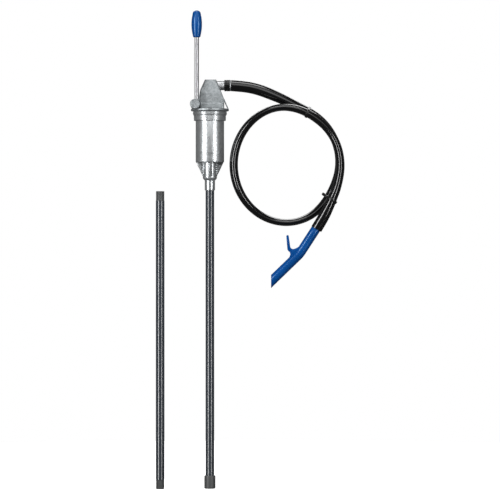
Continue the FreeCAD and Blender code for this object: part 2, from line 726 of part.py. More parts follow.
def shaft_bush_rear():
    return cross_ring(BUSH_R, SHAFT_R + RUNNING_CLEARANCE, POCKET_HALF_WIDTH, REAR_HOLE_DEPTH)


def shaft_seal():
    return cross_ring(BUSH_R, SHAFT_R + CUP_CLEARANCE, -BAND_HALF_DEPTH, SEAL_BACK)


# Piston
def piston_rod():
    low = PIN_Z - ROD_HEAD_BELOW_PIN
    high = PIN_Z + ROD_HEAD_ABOVE_PIN
    half = ROD_HEAD_HALF_THICKNESS
    head = rod(ROD_HEAD_R, low, high).common(box(-ROD_HEAD_R, ROD_HEAD_R, -half, half, low, high))
    shank = rod(PISTON_ROD_R, ROD_SHOULDER, PIN_Z)
    thread = rod(ROD_THREAD_R, NUT_BOTTOM - 1.5, ROD_SHOULDER)
    solid = joined(head, [shank, thread])
    return solid.cut(cross_rod(CROSS_PIN_R + RUNNING_CLEARANCE, -20, 20, 0, PIN_Z))


def cross_pin():
    reach = FORK_HALF_WIDTH + CROSS_PIN_OVERHANG
    return cross_rod(CROSS_PIN_R, -reach, reach, 0, PIN_Z)


def cross_pin_clips():
    outer = CROSS_PIN_R + CLIP_WIDTH
    inner = CROSS_PIN_R + PRESS_CLEARANCE
    clips = []
    for side in (-1, 1):
        middle = side * (FORK_HALF_WIDTH + CROSS_PIN_OVERHANG / 2)
        y0 = middle - CLIP_THICKNESS / 2
        clips.append(cross_ring(outer, inner, y0, y0 + CLIP_THICKNESS, 0, PIN_Z))
    return Part.makeCompound(clips)


def valve_stop():
    return ring(VALVE_STOP_R, ROD_THREAD_R + PRESS_CLEARANCE, VALVE_STOP_BOTTOM, ROD_SHOULDER)


def ports(z0, z1):
    return ring_of_holes(PORT_COUNT, PORT_R, PORT_CIRCLE_R, z0 - 1, z1 + 1)


def piston_body():
    solid = rod(PISTON_R, PISTON_BOTTOM, PISTON_TOP)
    solid = solid.fuse(rod(PISTON_HUB_R, PISTON_TOP - 1, VALVE_STOP_BOTTOM)).removeSplitter()
    solid = solid.cut(rod(ROD_THREAD_R + PRESS_CLEARANCE, PISTON_BOTTOM - 1, VALVE_STOP_BOTTOM + 1))
    return solid.cut(ports(PISTON_BOTTOM, PISTON_TOP))


def piston_valve():
    """The loose ring that covers the piston's ports on the way up."""
    bottom = PISTON_TOP + SEATING_GAP
    return ring(VALVE_R, PISTON_HUB_R + LOOSE_CLEARANCE, bottom, bottom + VALVE_THICKNESS)


def piston_cup():
    solid = ring(BORE_R - CUP_CLEARANCE, ROD_THREAD_R + PRESS_CLEARANCE, CUP_BOTTOM, PISTON_BOTTOM)
    return solid.cut(ports(CUP_BOTTOM, PISTON_BOTTOM))


def cup_washer():
    solid = ring(CUP_WASHER_R, ROD_THREAD_R + PRESS_CLEARANCE, CUP_WASHER_BOTTOM, CUP_BOTTOM)
    return solid.cut(ports(CUP_WASHER_BOTTOM, CUP_BOTTOM))


def piston_nut():
    nut = hexagon(NUT_ACROSS_FLATS, NUT_BOTTOM, CUP_WASHER_BOTTOM)
    return nut.cut(rod(ROD_THREAD_R + PRESS_CLEARANCE, NUT_BOTTOM - 1, CUP_WASHER_BOTTOM + 1))


def rod_guide():
    """The drilled plate that keeps the piston rod on the axis and lets the liquid past."""
    hub_bottom = GUIDE_TOP - GUIDE_HUB_LENGTH
    solid = joined(rod(SPIGOT_R, GUIDE_BOTTOM, GUIDE_TOP), [rod(GUIDE_HUB_R, hub_bottom, GUIDE_TOP)])
    solid = solid.cut(rod(GUIDE_BUSH_R + PRESS_CLEARANCE, hub_bottom - 1, GUIDE_TOP + 1))
    below = GUIDE_BOTTOM - 1
    return solid.cut(ring_of_holes(GUIDE_HOLES, GUIDE_HOLE_R, GUIDE_HOLE_CIRCLE_R, below, GUIDE_TOP + 1))


def rod_bush():
    return ring(GUIDE_BUSH_R, PISTON_ROD_R + RUNNING_CLEARANCE, GUIDE_TOP - GUIDE_HUB_LENGTH, GUIDE_TOP + 0.5)


# Foot valve
def foot_valve_seat():
    return ring(INLET_PORT_R - PRESS_CLEARANCE, SEAT_BORE_R, SEAT_BOTTOM, SEAT_TOP)


def foot_valve():
    """A disc that lifts off its seat, with fins that keep it over the bore."""
    bottom = SEAT_TOP + SEATING_GAP
    disc = rod(FOOT_DISC_R, bottom, bottom + FOOT_DISC_THICKNESS)
    reach = SEAT_BORE_R - LOOSE_CLEARANCE
    half = FOOT_FIN_THICKNESS / 2
    fins = []
    for i in range(FOOT_FIN_COUNT):
        fin = box(0, reach, -half, half, bottom - FOOT_FIN_LENGTH, bottom + 0.5)
        fin.rotate(V(0, 0, 0), Z_DIR, 360 * i / FOOT_FIN_COUNT)
        fins.append(fin)
    return joined(disc, fins)


def foot_valve_cage():
    """The ring with a bar across it that stops the foot valve's disc."""
    outer = INLET_PORT_R - PRESS_CLEARANCE
    body = ring(outer, CAGE_BORE_R, CAGE_BOTTOM, CAGE_BOTTOM + CAGE_HEIGHT)
    bar = box(-outer + 1, outer - 1, -CAGE_BAR / 2, CAGE_BAR / 2, CAGE_BOTTOM, CAGE_BOTTOM + CAGE_HEIGHT)
    return joined(body, [bar])


# Hose
def hose_cuff():
    start = V(CUFF_START, 0, SPOUT_Z)
    body = Part.makeCylinder(CUFF_R, CUFF_LENGTH, start, X_DIR)
    body = body.makeFillet(0.8, [e for e in body.Edges if e.BoundBox.XLength < 0.01])
    return body.cut(Part.makeCylinder(SPOUT_R + THREAD_CLEARANCE, CUFF_LENGTH, start, X_DIR))


def oval(half_width, half_height, y):
    """An upright ellipse about the coil's centre."""
    centre = V(COIL_CENTRE.x, y, COIL_CENTRE.z)
    long_end = centre.add(V(0, 0, half_height))
    short_end = centre.add(V(half_width, 0, 0))
    return Part.Wire(Part.Ellipse(long_end, short_end, centre).toShape())


def coil_ring():
    """The outer shape of the hose's coil: an upright oval ring."""
    depth = V(0, COIL_FRONT - COIL_BACK, 0)
    outer = oval(COIL_HALF_WIDTH + COIL_BAND, COIL_HALF_HEIGHT + COIL_BAND, COIL_BACK)
    inner = oval(COIL_HALF_WIDTH - COIL_BAND, COIL_HALF_HEIGHT - COIL_BAND, COIL_BACK)
    body = Part.Face(outer).extrude(depth).cut(Part.Face(inner).extrude(depth))
    rims = [e for e in body.Edges if e.BoundBox.YLength < 0.01]
    return body.makeFillet(COIL_ROUND, rims)


def coil_point(turn, offset=0):
    """A point of the coil's centreline, with the turn counted clockwise from +X."""
    angle = math.radians(turn)
    x = COIL_CENTRE.x + (COIL_HALF_WIDTH + offset) * math.cos(angle)
    z = COIL_CENTRE.z - (COIL_HALF_HEIGHT + offset) * math.sin(angle)
    return V(x, 0, z)


def cable_tie(half_width, back, front):
    """A cable tie round the flattened strands: a band, its lock and the cut end of its tail."""
    outer_w = half_width + TIE_THICKNESS
    height = back - front
    middle = (back + front) / 2
    edge = TIE_WIDTH / 2
    band = box(-outer_w, outer_w, front - TIE_THICKNESS, back + TIE_THICKNESS, -edge, edge)
    room = box(-half_width, half_width, front, back, -TIE_WIDTH, TIE_WIDTH)
    corner = 0.45 * half_width
    edges = [e for e in band.Edges if e.BoundBox.ZLength > TIE_WIDTH - 0.1]
    band = band.makeFillet(corner + TIE_THICKNESS, edges)
    edges = [e for e in room.Edges if e.BoundBox.ZLength > TIE_WIDTH]
    room = room.makeFillet(corner, edges)
    lock_y = middle + 0.2 * height
    wide = TIE_LOCK_HALF_WIDTH
    deep = TIE_LOCK / 2
    lock = box(half_width, half_width + TIE_LOCK, lock_y - wide, lock_y + wide, -deep, deep)
    stub_end = half_width + TIE_LOCK + TIE_STUB
    thin = TIE_STUB_HALF_THICKNESS
    stub = box(half_width, stub_end, lock_y - thin, lock_y + thin, -edge, edge)
    return joined(band, [lock.fuse(stub)]).cut(room)


def lay_on_coil(tie, turn, offset):
    """Stand a tie, drawn with the hose along Z, across the coil at a turn."""
    tie.rotate(V(0, 0, 0), Y_DIR, turn)
    tie.translate(coil_point(turn, offset))
    return tie


def cable_tie_upper():
    tie = cable_tie(UPPER_TIE_HALF_WIDTH, UPPER_TIE_BACK, UPPER_TIE_FRONT)
    return lay_on_coil(tie, UPPER_TIE_TURN, UPPER_TIE_OFFSET)


def cable_tie_lower():
    tie = cable_tie(LOWER_TIE_HALF_WIDTH, LOWER_TIE_BACK, LOWER_TIE_FRONT)
    return lay_on_coil(tie, LOWER_TIE_TURN, LOWER_TIE_OFFSET)


def hose_coil():
    return coil_ring().cut(cable_tie_upper()).cut(cable_tie_lower())


def hose_lead():
    tube = swept(LEAD_POINTS, HOSE_R, "hose_lead")
    return tube.cut(coil_ring()).cut(cable_tie_upper())


def hose_tail():
    tube = swept(TAIL_POINTS, HOSE_R, "hose_tail")
    return tube.cut(coil_ring()).cut(cable_tie_lower())


# Nozzle
def slanted(angle, length):
    """A step down and to the left, at an angle from straight down."""
    turn = math.radians(angle)
    return V(-length * math.sin(turn), 0, -length * math.cos(turn))


def nozzle_pipe(radius, extra):
    """Two straight lengths joined by a short bend, starting extra before the hose's end."""
    inlet = TAIL_POINTS[-1].add(V(NOZZLE_SHIFT_X, 0, NOZZLE_SHIFT_Z))
    bend = inlet.add(slanted(NOZZLE_FIRST_ANGLE, NOZZLE_FIRST_LENGTH))
    start = inlet.sub(slanted(NOZZLE_FIRST_ANGLE, extra))
    end = bend.add(slanted(NOZZLE_LAST_ANGLE, NOZZLE_LAST_LENGTH + 2 * NOZZLE_R))
    arc_start = bend.sub(slanted(NOZZLE_FIRST_ANGLE, NOZZLE_BEND_REACH))
    arc_end = bend.add(slanted(NOZZLE_LAST_ANGLE, NOZZLE_BEND_REACH))
    half_turn = math.radians(NOZZLE_LAST_ANGLE - NOZZLE_FIRST_ANGLE) / 2
    bend_radius = NOZZLE_BEND_REACH / math.tan(half_turn)
    inward = arc_start.add(arc_end).multiply(0.5).sub(bend)
    inward.normalize()
    middle = bend.add(inward.multiply(bend_radius / math.cos(half_turn) - bend_radius))
    edges = [
        Part.LineSegment(start, arc_start).toShape(),
        Part.Arc(arc_start, middle, arc_end).toShape(),
        Part.LineSegment(arc_end, end).toShape(),
    ]
    circle = Part.Wire(Part.makeCircle(radius, start, slanted(NOZZLE_FIRST_ANGLE, 1)))
    return Part.Wire(edges).makePipeShell([circle], True, True)


def nozzle_hook():
    """The hook that hangs the nozzle up: a thin arm on a curved saddle, in the nozzle's own plane."""
    half = HOOK_ARM / 2
    foot = V(HOOK_X, 0, HOOK_TOP - HOOK_DEPTH)
    outer_top = V(HOOK_X - half, 0, HOOK_TOP - half)
    inner_top = V(HOOK_X + half, 0, HOOK_TOP - half)
    inner_foot = foot.add(V(half + 2.8, 0, 3.7))
    saddle_low = foot.add(V(10.3, 0, -0.1))
    saddle_end = foot.add(V(25.5, 0, 10.8))
    root_right = foot.add(V(27.0, 0, -4.0))
    root_left = foot.add(V(10.5, 0, -19.0))
    waist_foot = foot.add(V(2.7, 0, -15.3))
    elbow = foot.add(V(3.8, 0, -5.6))
    outer_foot = foot.add(V(-0.4, 0, 0.5))
    edges = [
        Part.Arc(outer_top, V(HOOK_X, 0, HOOK_TOP), inner_top).toShape(),
        Part.LineSegment(inner_top, inner_foot).toShape(),
        Part.Arc(inner_foot, foot.add(V(7.2, 0, 0.8)), saddle_low).toShape(),
        Part.Arc(saddle_low, foot.add(V(18.3, 0, 2.8)), saddle_end).toShape(),
        Part.LineSegment(saddle_end, root_right).toShape(),
        Part.LineSegment(root_right, root_left).toShape(),
        Part.LineSegment(root_left, waist_foot).toShape(),
        Part.Arc(waist_foot, foot.add(V(4.9, 0, -10.2)), elbow).toShape(),
        Part.Arc(elbow, foot.add(V(1.0, 0, -3.2)), outer_foot).toShape(),
        Part.LineSegment(outer_foot, outer_top).toShape(),
    ]
    face = Part.Face(Part.Wire(edges))
    hook = face.extrude(V(0, 2 * HOOK_HALF_DEPTH, 0))
    return hook.translated(V(0, TAIL_POINTS[-1].y - HOOK_HALF_DEPTH, 0))


def nozzle():
    body = joined(nozzle_pipe(NOZZLE_R, 0), [nozzle_hook()])
    body = body.cut(nozzle_pipe(NOZZLE_BORE_R, 1))
    room = 3 * NOZZLE_R
    y = TAIL_POINTS[-1].y
    waste = box(NOZZLE_TIP_X - 3 * room, NOZZLE_TIP_X, y - room, y + room, -360, -250)
    return body.cut(waste)


NODES = [
    head_casting,
    head_gasket,
    spout_nipple,
    bung_adapter,
    cylinder_casting,
    suction_tube,
    tube_seal,
    tube_coupling,
    extension_tube,
    lever_rod,
    lever_grip,
    lever_hub,
    hub_set_screw,
    crank_shaft,
    crank_fork,
    crank_lock_pin,
    shaft_bush_front,
    shaft_bush_rear,
    shaft_seal,
    piston_rod,
    cross_pin,
    cross_pin_clips,
    valve_stop,
    piston_body,
    piston_valve,
    piston_cup,
    cup_washer,
    piston_nut,
    rod_guide,
    rod_bush,
    foot_valve_seat,
    foot_valve,
    foot_valve_cage,
    hose_cuff,
    hose_lead,
    hose_coil,
    hose_tail,
    cable_tie_upper,
    cable_tie_lower,
    nozzle,
]

os.makedirs("parts", exist_ok=True)
for node in NODES:
    shape = node()
    name = node.__name__
    print(name, "solids", len(shape.Solids), "volume", round(shape.Volume), "valid", shape.isValid())
    shape.exportStep(os.path.join("parts", name + ".step"))
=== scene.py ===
import bmesh
import bpy
import json
import math
from mathutils import Matrix, Vector
from mathutils.geometry import convex_hull_2d


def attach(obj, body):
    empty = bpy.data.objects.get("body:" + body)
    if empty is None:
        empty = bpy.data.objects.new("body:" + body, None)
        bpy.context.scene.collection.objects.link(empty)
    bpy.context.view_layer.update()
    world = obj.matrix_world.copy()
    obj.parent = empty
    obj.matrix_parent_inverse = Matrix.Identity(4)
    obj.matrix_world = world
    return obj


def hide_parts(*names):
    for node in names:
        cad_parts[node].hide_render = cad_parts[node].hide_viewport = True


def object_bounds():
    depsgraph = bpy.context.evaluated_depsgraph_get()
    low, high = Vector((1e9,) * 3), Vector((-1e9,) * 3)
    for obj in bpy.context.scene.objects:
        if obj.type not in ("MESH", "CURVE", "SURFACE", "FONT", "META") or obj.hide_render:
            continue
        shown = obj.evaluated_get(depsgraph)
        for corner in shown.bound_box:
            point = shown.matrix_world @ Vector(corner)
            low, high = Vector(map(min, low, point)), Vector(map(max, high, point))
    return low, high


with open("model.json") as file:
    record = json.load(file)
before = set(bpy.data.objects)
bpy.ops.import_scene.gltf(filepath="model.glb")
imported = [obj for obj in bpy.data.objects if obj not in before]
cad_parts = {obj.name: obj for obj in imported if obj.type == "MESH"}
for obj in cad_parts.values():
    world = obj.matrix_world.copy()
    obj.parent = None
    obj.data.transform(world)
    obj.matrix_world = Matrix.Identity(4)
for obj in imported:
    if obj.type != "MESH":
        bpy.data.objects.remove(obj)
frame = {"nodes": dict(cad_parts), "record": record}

CAD_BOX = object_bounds()
NODES = frame["nodes"]
MM = 0.001


# ---------------------------------------------------------------- shader helpers
def new_material(name):
    material = bpy.data.materials.new(name)
    material.use_nodes = True
    tree = material.node_tree
    return material, tree, tree.nodes["Principled BSDF"]


def node(tree, kind, **settings):
    made = tree.nodes.new(kind)
    for key, value in settings.items():
        if key in made.inputs:
            made.inputs[key].default_value = value
        else:
            setattr(made, key, value)
    return made


def object_space(tree, stretch=(1, 1, 1)):
    """Object coordinates, stretched along an axis for drawn or brushed grain."""
    coordinates = node(tree, "ShaderNodeTexCoord")
    mapping = node(tree, "ShaderNodeMapping")
    mapping.inputs["Scale"].default_value = stretch
    tree.links.new(coordinates.outputs["Object"], mapping.inputs["Vector"])
    return mapping.outputs["Vector"]


def noise(tree, vector, scale, detail=3.0, roughness=0.5):
    made = node(tree, "ShaderNodeTexNoise", Scale=scale, Detail=detail, Roughness=roughness)
    tree.links.new(vector, made.inputs["Vector"])
    return made.outputs["Fac"]


def span(tree, value, low, high, start=0.3, end=0.7):
    """Map a 0 to 1 pattern onto a range of plain values."""
    made = node(tree, "ShaderNodeMapRange")
    made.inputs["From Min"].default_value = start
    made.inputs["From Max"].default_value = end
    made.inputs["To Min"].default_value = low
    made.inputs["To Max"].default_value = high
    tree.links.new(value, made.inputs["Value"])
    return made.outputs["Result"]


def tint(tree, value, dark, light, start=0.3, end=0.7):
    """Run a pattern between two colours."""
    made = node(tree, "ShaderNodeValToRGB")
    made.color_ramp.elements[0].position = start
    made.color_ramp.elements[0].color = (*dark, 1)
    made.color_ramp.elements[1].position = end
    made.color_ramp.elements[1].color = (*light, 1)
    tree.links.new(value, made.inputs["Fac"])
    return made.outputs["Color"]


def relief(tree, value, depth, strength=1.0, under=None):
    """A bump of a given depth in metres, laid over another bump."""
    made = node(tree, "ShaderNodeBump", Strength=strength, Distance=depth)
    tree.links.new(value, made.inputs["Height"])
    if under is not None:
        tree.links.new(under, made.inputs["Normal"])
    return made.outputs["Normal"]


def rounded_edges(tree, radius):
    """A normal that rounds a casting's corners off by a radius."""
    return node(tree, "ShaderNodeBevel", samples=4, Radius=radius).outputs["Normal"]


# ---------------------------------------------------------------- finishes
def sand_cast(name, dark, light, roughness, grain):
    """Sand-cast light alloy: a grainy skin, blotches of oxide and rounded edges."""
    material, tree, shader = new_material(name)
    space = object_space(tree)
    blotch = noise(tree, space, 240, 6, 0.7)
    sand = noise(tree, space, 900, 4, 0.65)
    lumps = noise(tree, space, 160, 3)
    colour = tint(tree, blotch, dark, light)
    tree.links.new(colour, shader.inputs["Base Color"])
    rough = span(tree, lumps, roughness - 0.07, roughness + 0.07)
    tree.links.new(rough, shader.inputs["Roughness"])
    coarse = relief(tree, lumps, grain, under=rounded_edges(tree, 0.0013))
    fine = relief(tree, sand, grain * 0.6, under=coarse)
    tree.links.new(fine, shader.inputs["Normal"])
    shader.inputs["Metallic"].default_value = 0.8
    return material


def turned_metal(name, colour, roughness, rings=(1, 1, 60), metallic=1.0):
    """Machined or drawn metal: fine lines round the part and a little unevenness."""
    material, tree, shader = new_material(name)
    lines = noise(tree, object_space(tree, rings), 40, 4)
    smear = noise(tree, object_space(tree), 60, 3)
    dark = tuple(0.82 * c for c in colour)
    tree.links.new(tint(tree, smear, dark, colour), shader.inputs["Base Color"])
    rough = span(tree, lines, roughness - 0.05, roughness + 0.08)
    tree.links.new(rough, shader.inputs["Roughness"])
    tree.links.new(relief(tree, lines, 0.000008), shader.inputs["Normal"])
    shader.inputs["Metallic"].default_value = metallic
    return material


def chrome_plate(name):
    """Bright chrome with faint polishing marks along the rod."""
    material, tree, shader = new_material(name)
    marks = noise(tree, object_space(tree, (6, 6, 0.6)), 300, 3)
    haze = noise(tree, object_space(tree), 35, 3)
    colour = tint(tree, haze, (0.25, 0.25, 0.26), (0.30, 0.30, 0.31))
    tree.links.new(colour, shader.inputs["Base Color"])
    tree.links.new(span(tree, marks, 0.27, 0.32), shader.inputs["Roughness"])
    tree.links.new(relief(tree, marks, 0.000003), shader.inputs["Normal"])
    shader.inputs["Metallic"].default_value = 1.0
    return material


def moulded_plastic(name, dark, light, roughness, coat=0.0, flow=(1, 1, 1), gloss=0.5, sheen=(1, 1, 1)):
    """Moulded or extruded plastic: slight colour drift, flow marks and fine scuffs."""
    material, tree, shader = new_material(name)
    drift = noise(tree, object_space(tree, flow), 22, 3)
    orange_peel = noise(tree, object_space(tree, flow), 90, 2)
    scuffs = noise(tree, object_space(tree), 180, 4, 0.6)
    tree.links.new(tint(tree, drift, dark, light), shader.inputs["Base Color"])
    rough = span(tree, scuffs, roughness - 0.02, roughness + 0.04)
    tree.links.new(rough, shader.inputs["Roughness"])
    tree.links.new(relief(tree, orange_peel, 0.000006), shader.inputs["Normal"])
    shader.inputs["Specular IOR Level"].default_value = gloss
    shader.inputs["Specular Tint"].default_value = (*sheen, 1)
    shader.inputs["Coat Weight"].default_value = coat
    shader.inputs["Coat Roughness"].default_value = 0.12
    return material


def hose_skin(name):
    """Glossy black PVC: extrusion lines run along the hose in its own UV map."""
    material, tree, shader = new_material(name)
    uv = node(tree, "ShaderNodeUVMap", uv_map="along_hose")
    mapping = node(tree, "ShaderNodeMapping")
    mapping.inputs["Scale"].default_value = (2, 24, 1)
    tree.links.new(uv.outputs["UV"], mapping.inputs["Vector"])
    lines = noise(tree, mapping.outputs["Vector"], 1.0, 3)
    ripple = noise(tree, object_space(tree), 90, 2)
    dust = noise(tree, object_space(tree), 400, 4, 0.6)
    colour = tint(tree, dust, (0.0015, 0.0015, 0.0018), (0.004, 0.004, 0.0045), 0.35, 0.8)
    tree.links.new(colour, shader.inputs["Base Color"])
    tree.links.new(span(tree, ripple, 0.13, 0.17), shader.inputs["Roughness"])
    under = relief(tree, ripple, 0.000012)
    tree.links.new(relief(tree, lines, 0.000002, under=under), shader.inputs["Normal"])
    shader.inputs["Specular IOR Level"].default_value = 0.6
    return material


FINISHES = {
    "cast_alloy": sand_cast("head_sand_cast", (0.17, 0.185, 0.19), (0.38, 0.405, 0.42), 0.50, 0.00040),
    "cast_alloy_bright": sand_cast("tumbled_cast", (0.41, 0.43, 0.44), (0.54, 0.56, 0.57), 0.33, 0.00003),
    "cast_alloy_inner": turned_metal("machined_alloy", (0.62, 0.63, 0.64), 0.32),
    "plated_steel": turned_metal("zinc_plate", (0.50, 0.51, 0.52), 0.42, (60, 1, 1)),
    "plain_steel": turned_metal("ground_steel", (0.52, 0.53, 0.54), 0.25),
    "dark_steel": turned_metal("black_oxide_steel", (0.05, 0.05, 0.055), 0.42),
    "chromed_steel": chrome_plate("chromed_rod"),
    "cast_iron_part": sand_cast("crank_iron", (0.10, 0.10, 0.10), (0.16, 0.16, 0.16), 0.55, 0.00025),
    "bronze": turned_metal("sintered_bronze", (0.55, 0.36, 0.16), 0.38),
    "black_rubber": moulded_plastic(
        "nitrile_rubber", (0.012, 0.012, 0.012), (0.022, 0.022, 0.022), 0.6,
    ),
    "hose_rubber": moulded_plastic(
        "cuff_rubber", (0.002, 0.002, 0.002), (0.005, 0.005, 0.005), 0.17, gloss=0.3,
    ),
    "hose_pvc": hose_skin("black_hose_pvc"),
    "tie_nylon": moulded_plastic("black_nylon", (0.003, 0.003, 0.003), (0.007, 0.007, 0.007), 0.3),
    "tube_plastic": moulded_plastic(
        "slate_grey_pvc", (0.025, 0.030, 0.037), (0.038, 0.045, 0.054), 0.17, coat=0.3, flow=(8, 8, 0.3),
    ),
    "fitting_plastic": moulded_plastic(
        "dull_grey_pvc", (0.050, 0.052, 0.053), (0.072, 0.075, 0.076), 0.42,
    ),
    "valve_plastic": moulded_plastic("natural_acetal", (0.62, 0.60, 0.55), (0.70, 0.69, 0.64), 0.35),
    "blue_plastic": moulded_plastic(
        "blue_moulding", (0.0, 0.040, 0.175), (0.001, 0.054, 0.23), 0.24, coat=0.1, sheen=(0.4, 0.7, 1.0),
    ),
}


# ---------------------------------------------------------------- mesh helpers
SHARP = math.radians(32)
WELD = 0.001 * MM


def finish_mesh(bm, name, slot, body, bevel=0.0, steps=2):
    """Weld, bevel and shade a closed bmesh, and make it a piece that rides on a body."""
    bmesh.ops.remove_doubles(bm, verts=bm.verts, dist=WELD)
    axis_lines = [e for e in bm.edges if not e.link_faces]
    bmesh.ops.delete(bm, geom=axis_lines, context="EDGES")
    bmesh.ops.recalc_face_normals(bm, faces=bm.faces)
    if bevel:
        edges = [e for e in bm.edges if e.is_manifold and e.calc_face_angle(0) > SHARP]
        bmesh.ops.bevel(
            bm, geom=edges, offset=bevel, segments=steps, profile=0.5, affect="EDGES",
            material=-1, clamp_overlap=True, offset_type="OFFSET",
        )
    for face in bm.faces:
        face.smooth = True
    for edge in bm.edges:
        edge.smooth = edge.calc_face_angle(0) < SHARP
    mesh = bpy.data.meshes.new(name)
    bm.to_mesh(mesh)
    bm.free()
    piece = bpy.data.objects.new(name, mesh)
    bpy.context.scene.collection.objects.link(piece)
    mesh.materials.append(FINISHES[slot])
    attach(piece, body)
    return piece


def turn_profile(bm, profile, matrix=Matrix.Identity(4), steps=96):
    """Spin a closed outline of radius and height about +Z, then place it."""
    already = set(bm.verts)
    ring = [bm.verts.new((radius, 0, height)) for radius, height in profile]
    edges = [bm.edges.new((a, b)) for a, b in zip(ring, ring[1:] + ring[:1])]
    bmesh.ops.spin(
        bm, geom=ring + edges, cent=(0, 0, 0), axis=(0, 0, 1), angle=2 * math.pi,
        steps=steps, use_merge=True, use_duplicate=False,
    )
    turned = [vertex for vertex in bm.verts if vertex not in already]
    bmesh.ops.remove_doubles(bm, verts=turned, dist=WELD)
    turned = [vertex for vertex in bm.verts if vertex not in already]
    bmesh.ops.transform(bm, matrix=matrix, verts=turned)


def turned_piece(name, profile, slot, body, matrix=Matrix.Identity(4), bevel=0.0, steps=96):
    bm = bmesh.new()
    turn_profile(bm, profile, matrix, steps)
    return finish_mesh(bm, name, slot, body, bevel)


def extrude_outline(bm, outline, back, front, matrix=Matrix.Identity(4)):
    """Add a closed prism: an XZ outline drawn from one depth to another."""
    low = [bm.verts.new((x, back, z)) for x, z in outline]
    face = bm.faces.new(low)
    grown = bmesh.ops.extrude_face_region(bm, geom=[face])
    top = [item for item in grown["geom"] if isinstance(item, bmesh.types.BMVert)]
    bmesh.ops.translate(bm, vec=(0, front - back, 0), verts=top)
    bmesh.ops.transform(bm, matrix=matrix, verts=low + top)


def thread_profile(radius, top, bottom, pitch, depth):
    """The ridged outline of a thread, from its top to its bottom."""
    points = []
    turns = max(1, round((top - bottom) / pitch))
    step = (top - bottom) / turns
    for i in range(turns):
        height = top - i * step
        points.append((radius - depth, height - 0.08 * step))
        points.append((radius, height - 0.42 * step))
        points.append((radius, height - 0.58 * step))
        points.append((radius - depth, height - 0.92 * step))
    return points


def along(direction):
    """A turn that lays +Z along a direction."""
    return Vector(direction).to_track_quat("Z", "Y").to_matrix().to_4x4()


# ---------------------------------------------------------------- hose
HOSE_RADIUS = 10.5 * MM
HOSE_RINGS = 40
LEAD = [
    (0.0390, 0, 0.0554),
    (0.0650, 0, 0.0538),
    (0.0910, 0, 0.0479),
    (0.1160, 0, 0.0382),
    (0.1405, 0, 0.0273),
    (0.1645, 0, 0.0154),
]
TAIL = [
    (0.2260, -0.0360, -0.1535),
    (0.2175, -0.0370, -0.1725),
    (0.2075, -0.0370, -0.1920),
    (0.1961, -0.0365, -0.2103),
]
COIL_CENTRE = Vector((0.1423, 0, -0.0915))
COIL_HALF_WIDTH = 99.7 * MM
COIL_HALF_HEIGHT = 108.5 * MM
COIL_FIRST_TURN = -58
COIL_LAST_TURN = 382
COIL_STEP = 20
COIL_PITCH = 28.0 * MM
TIE_PULL = 4.5 * MM
TIE_SPREAD = 28
LOWER_TIE_TURN = 32
UPPER_TIE_TURN = 300
# Bends are per metre, flattening is a share of the radius, and the round stretches are
# metres from an end: where the flattening starts, and where it is whole.
LOOP_BEND = 8.6
LOOP_FLATTENING = 0.24
FLATTENING_PER_BEND = 0.053
LEAST_FLATTENING = 0.22
MOST_FLATTENING = 0.40
WIDENING = 0.8
LEAD_STAYS_ROUND = (0.075, 0.135)
TAIL_STAYS_ROUND = (0.028, 0.075)
SMOOTHING_REACH = 14


def coil_points():
    """One and a quarter turns, clockwise from the front, drawn in where a tie holds them."""
    points = []
    for turn in range(COIL_FIRST_TURN, COIL_LAST_TURN + 1, COIL_STEP):
        angle = math.radians(turn)
        near_lower = ((turn - LOWER_TIE_TURN) / TIE_SPREAD) ** 2
        near_upper = ((turn - UPPER_TIE_TURN) / TIE_SPREAD) ** 2
        pull = TIE_PULL * (math.exp(-near_lower) + math.exp(-near_upper))
        x = COIL_CENTRE.x + (COIL_HALF_WIDTH - pull) * math.cos(angle)
        z = COIL_CENTRE.z - (COIL_HALF_HEIGHT - pull) * math.sin(angle)
        y = -COIL_PITCH * (turn - COIL_FIRST_TURN) / 360
        points.append((x, y, z))
    return points


def hose_route():
    """The hose's centreline: a smooth spline that its chosen points draw along."""
    points = LEAD + coil_points() + TAIL
    curve = bpy.data.curves.new("hose_route", "CURVE")
    curve.dimensions = "3D"
    spline = curve.splines.new("NURBS")
    spline.points.add(len(points) - 1)
    for made, point in zip(spline.points, points):
        made.co = (*point, 1)
    spline.order_u = 3
    spline.use_endpoint_u = True
    spline.resolution_u = 12
    route = bpy.data.objects.new("hose_route", curve)
    bpy.context.scene.collection.objects.link(route)
    bpy.context.view_layer.update()
    depsgraph = bpy.context.evaluated_depsgraph_get()
    mesh = bpy.data.meshes.new_from_object(route.evaluated_get(depsgraph))
    path = [vertex.co.copy() for vertex in mesh.vertices]
    bpy.data.objects.remove(route)
    bpy.data.meshes.remove(mesh)
    return path


def ease(value, start, end):
    """0 before start, 1 after end, and smooth between them."""
    t = min(1, max(0, (value - start) / (end - start)))
    return t * t * (3 - 2 * t)


def route_lengths(path):
    lengths = [0.0]
    for a, b in zip(path, path[1:]):
        lengths.append(lengths[-1] + (b - a).length)
    return lengths


def flattening(path, lengths):
    """How far the bend has flattened the hose at each point: 0 is round."""
    flat = []
    last = len(path) - 1
    for i in range(len(path)):
        before = path[max(0, i - SMOOTHING_REACH)]
        after = path[min(last, i + SMOOTHING_REACH)]
        turn = (path[i] - before).angle(after - path[i], 0.0)
        bend = turn / max(0.5 * (after - before).length, WELD)
        squeeze = LOOP_FLATTENING + FLATTENING_PER_BEND * (bend - LOOP_BEND)
        squeeze = min(MOST_FLATTENING, max(squeeze, LEAST_FLATTENING))
        past_lead = ease(lengths[i], *LEAD_STAYS_ROUND)
        before_tail = ease(lengths[-1] - lengths[i], *TAIL_STAYS_ROUND)
        flat.append(squeeze * past_lead * before_tail)
    smooth = []
    for i in range(len(flat)):
        window = flat[max(0, i - SMOOTHING_REACH):i + SMOOTHING_REACH + 1]
        smooth.append(sum(window) / len(window))
    return smooth


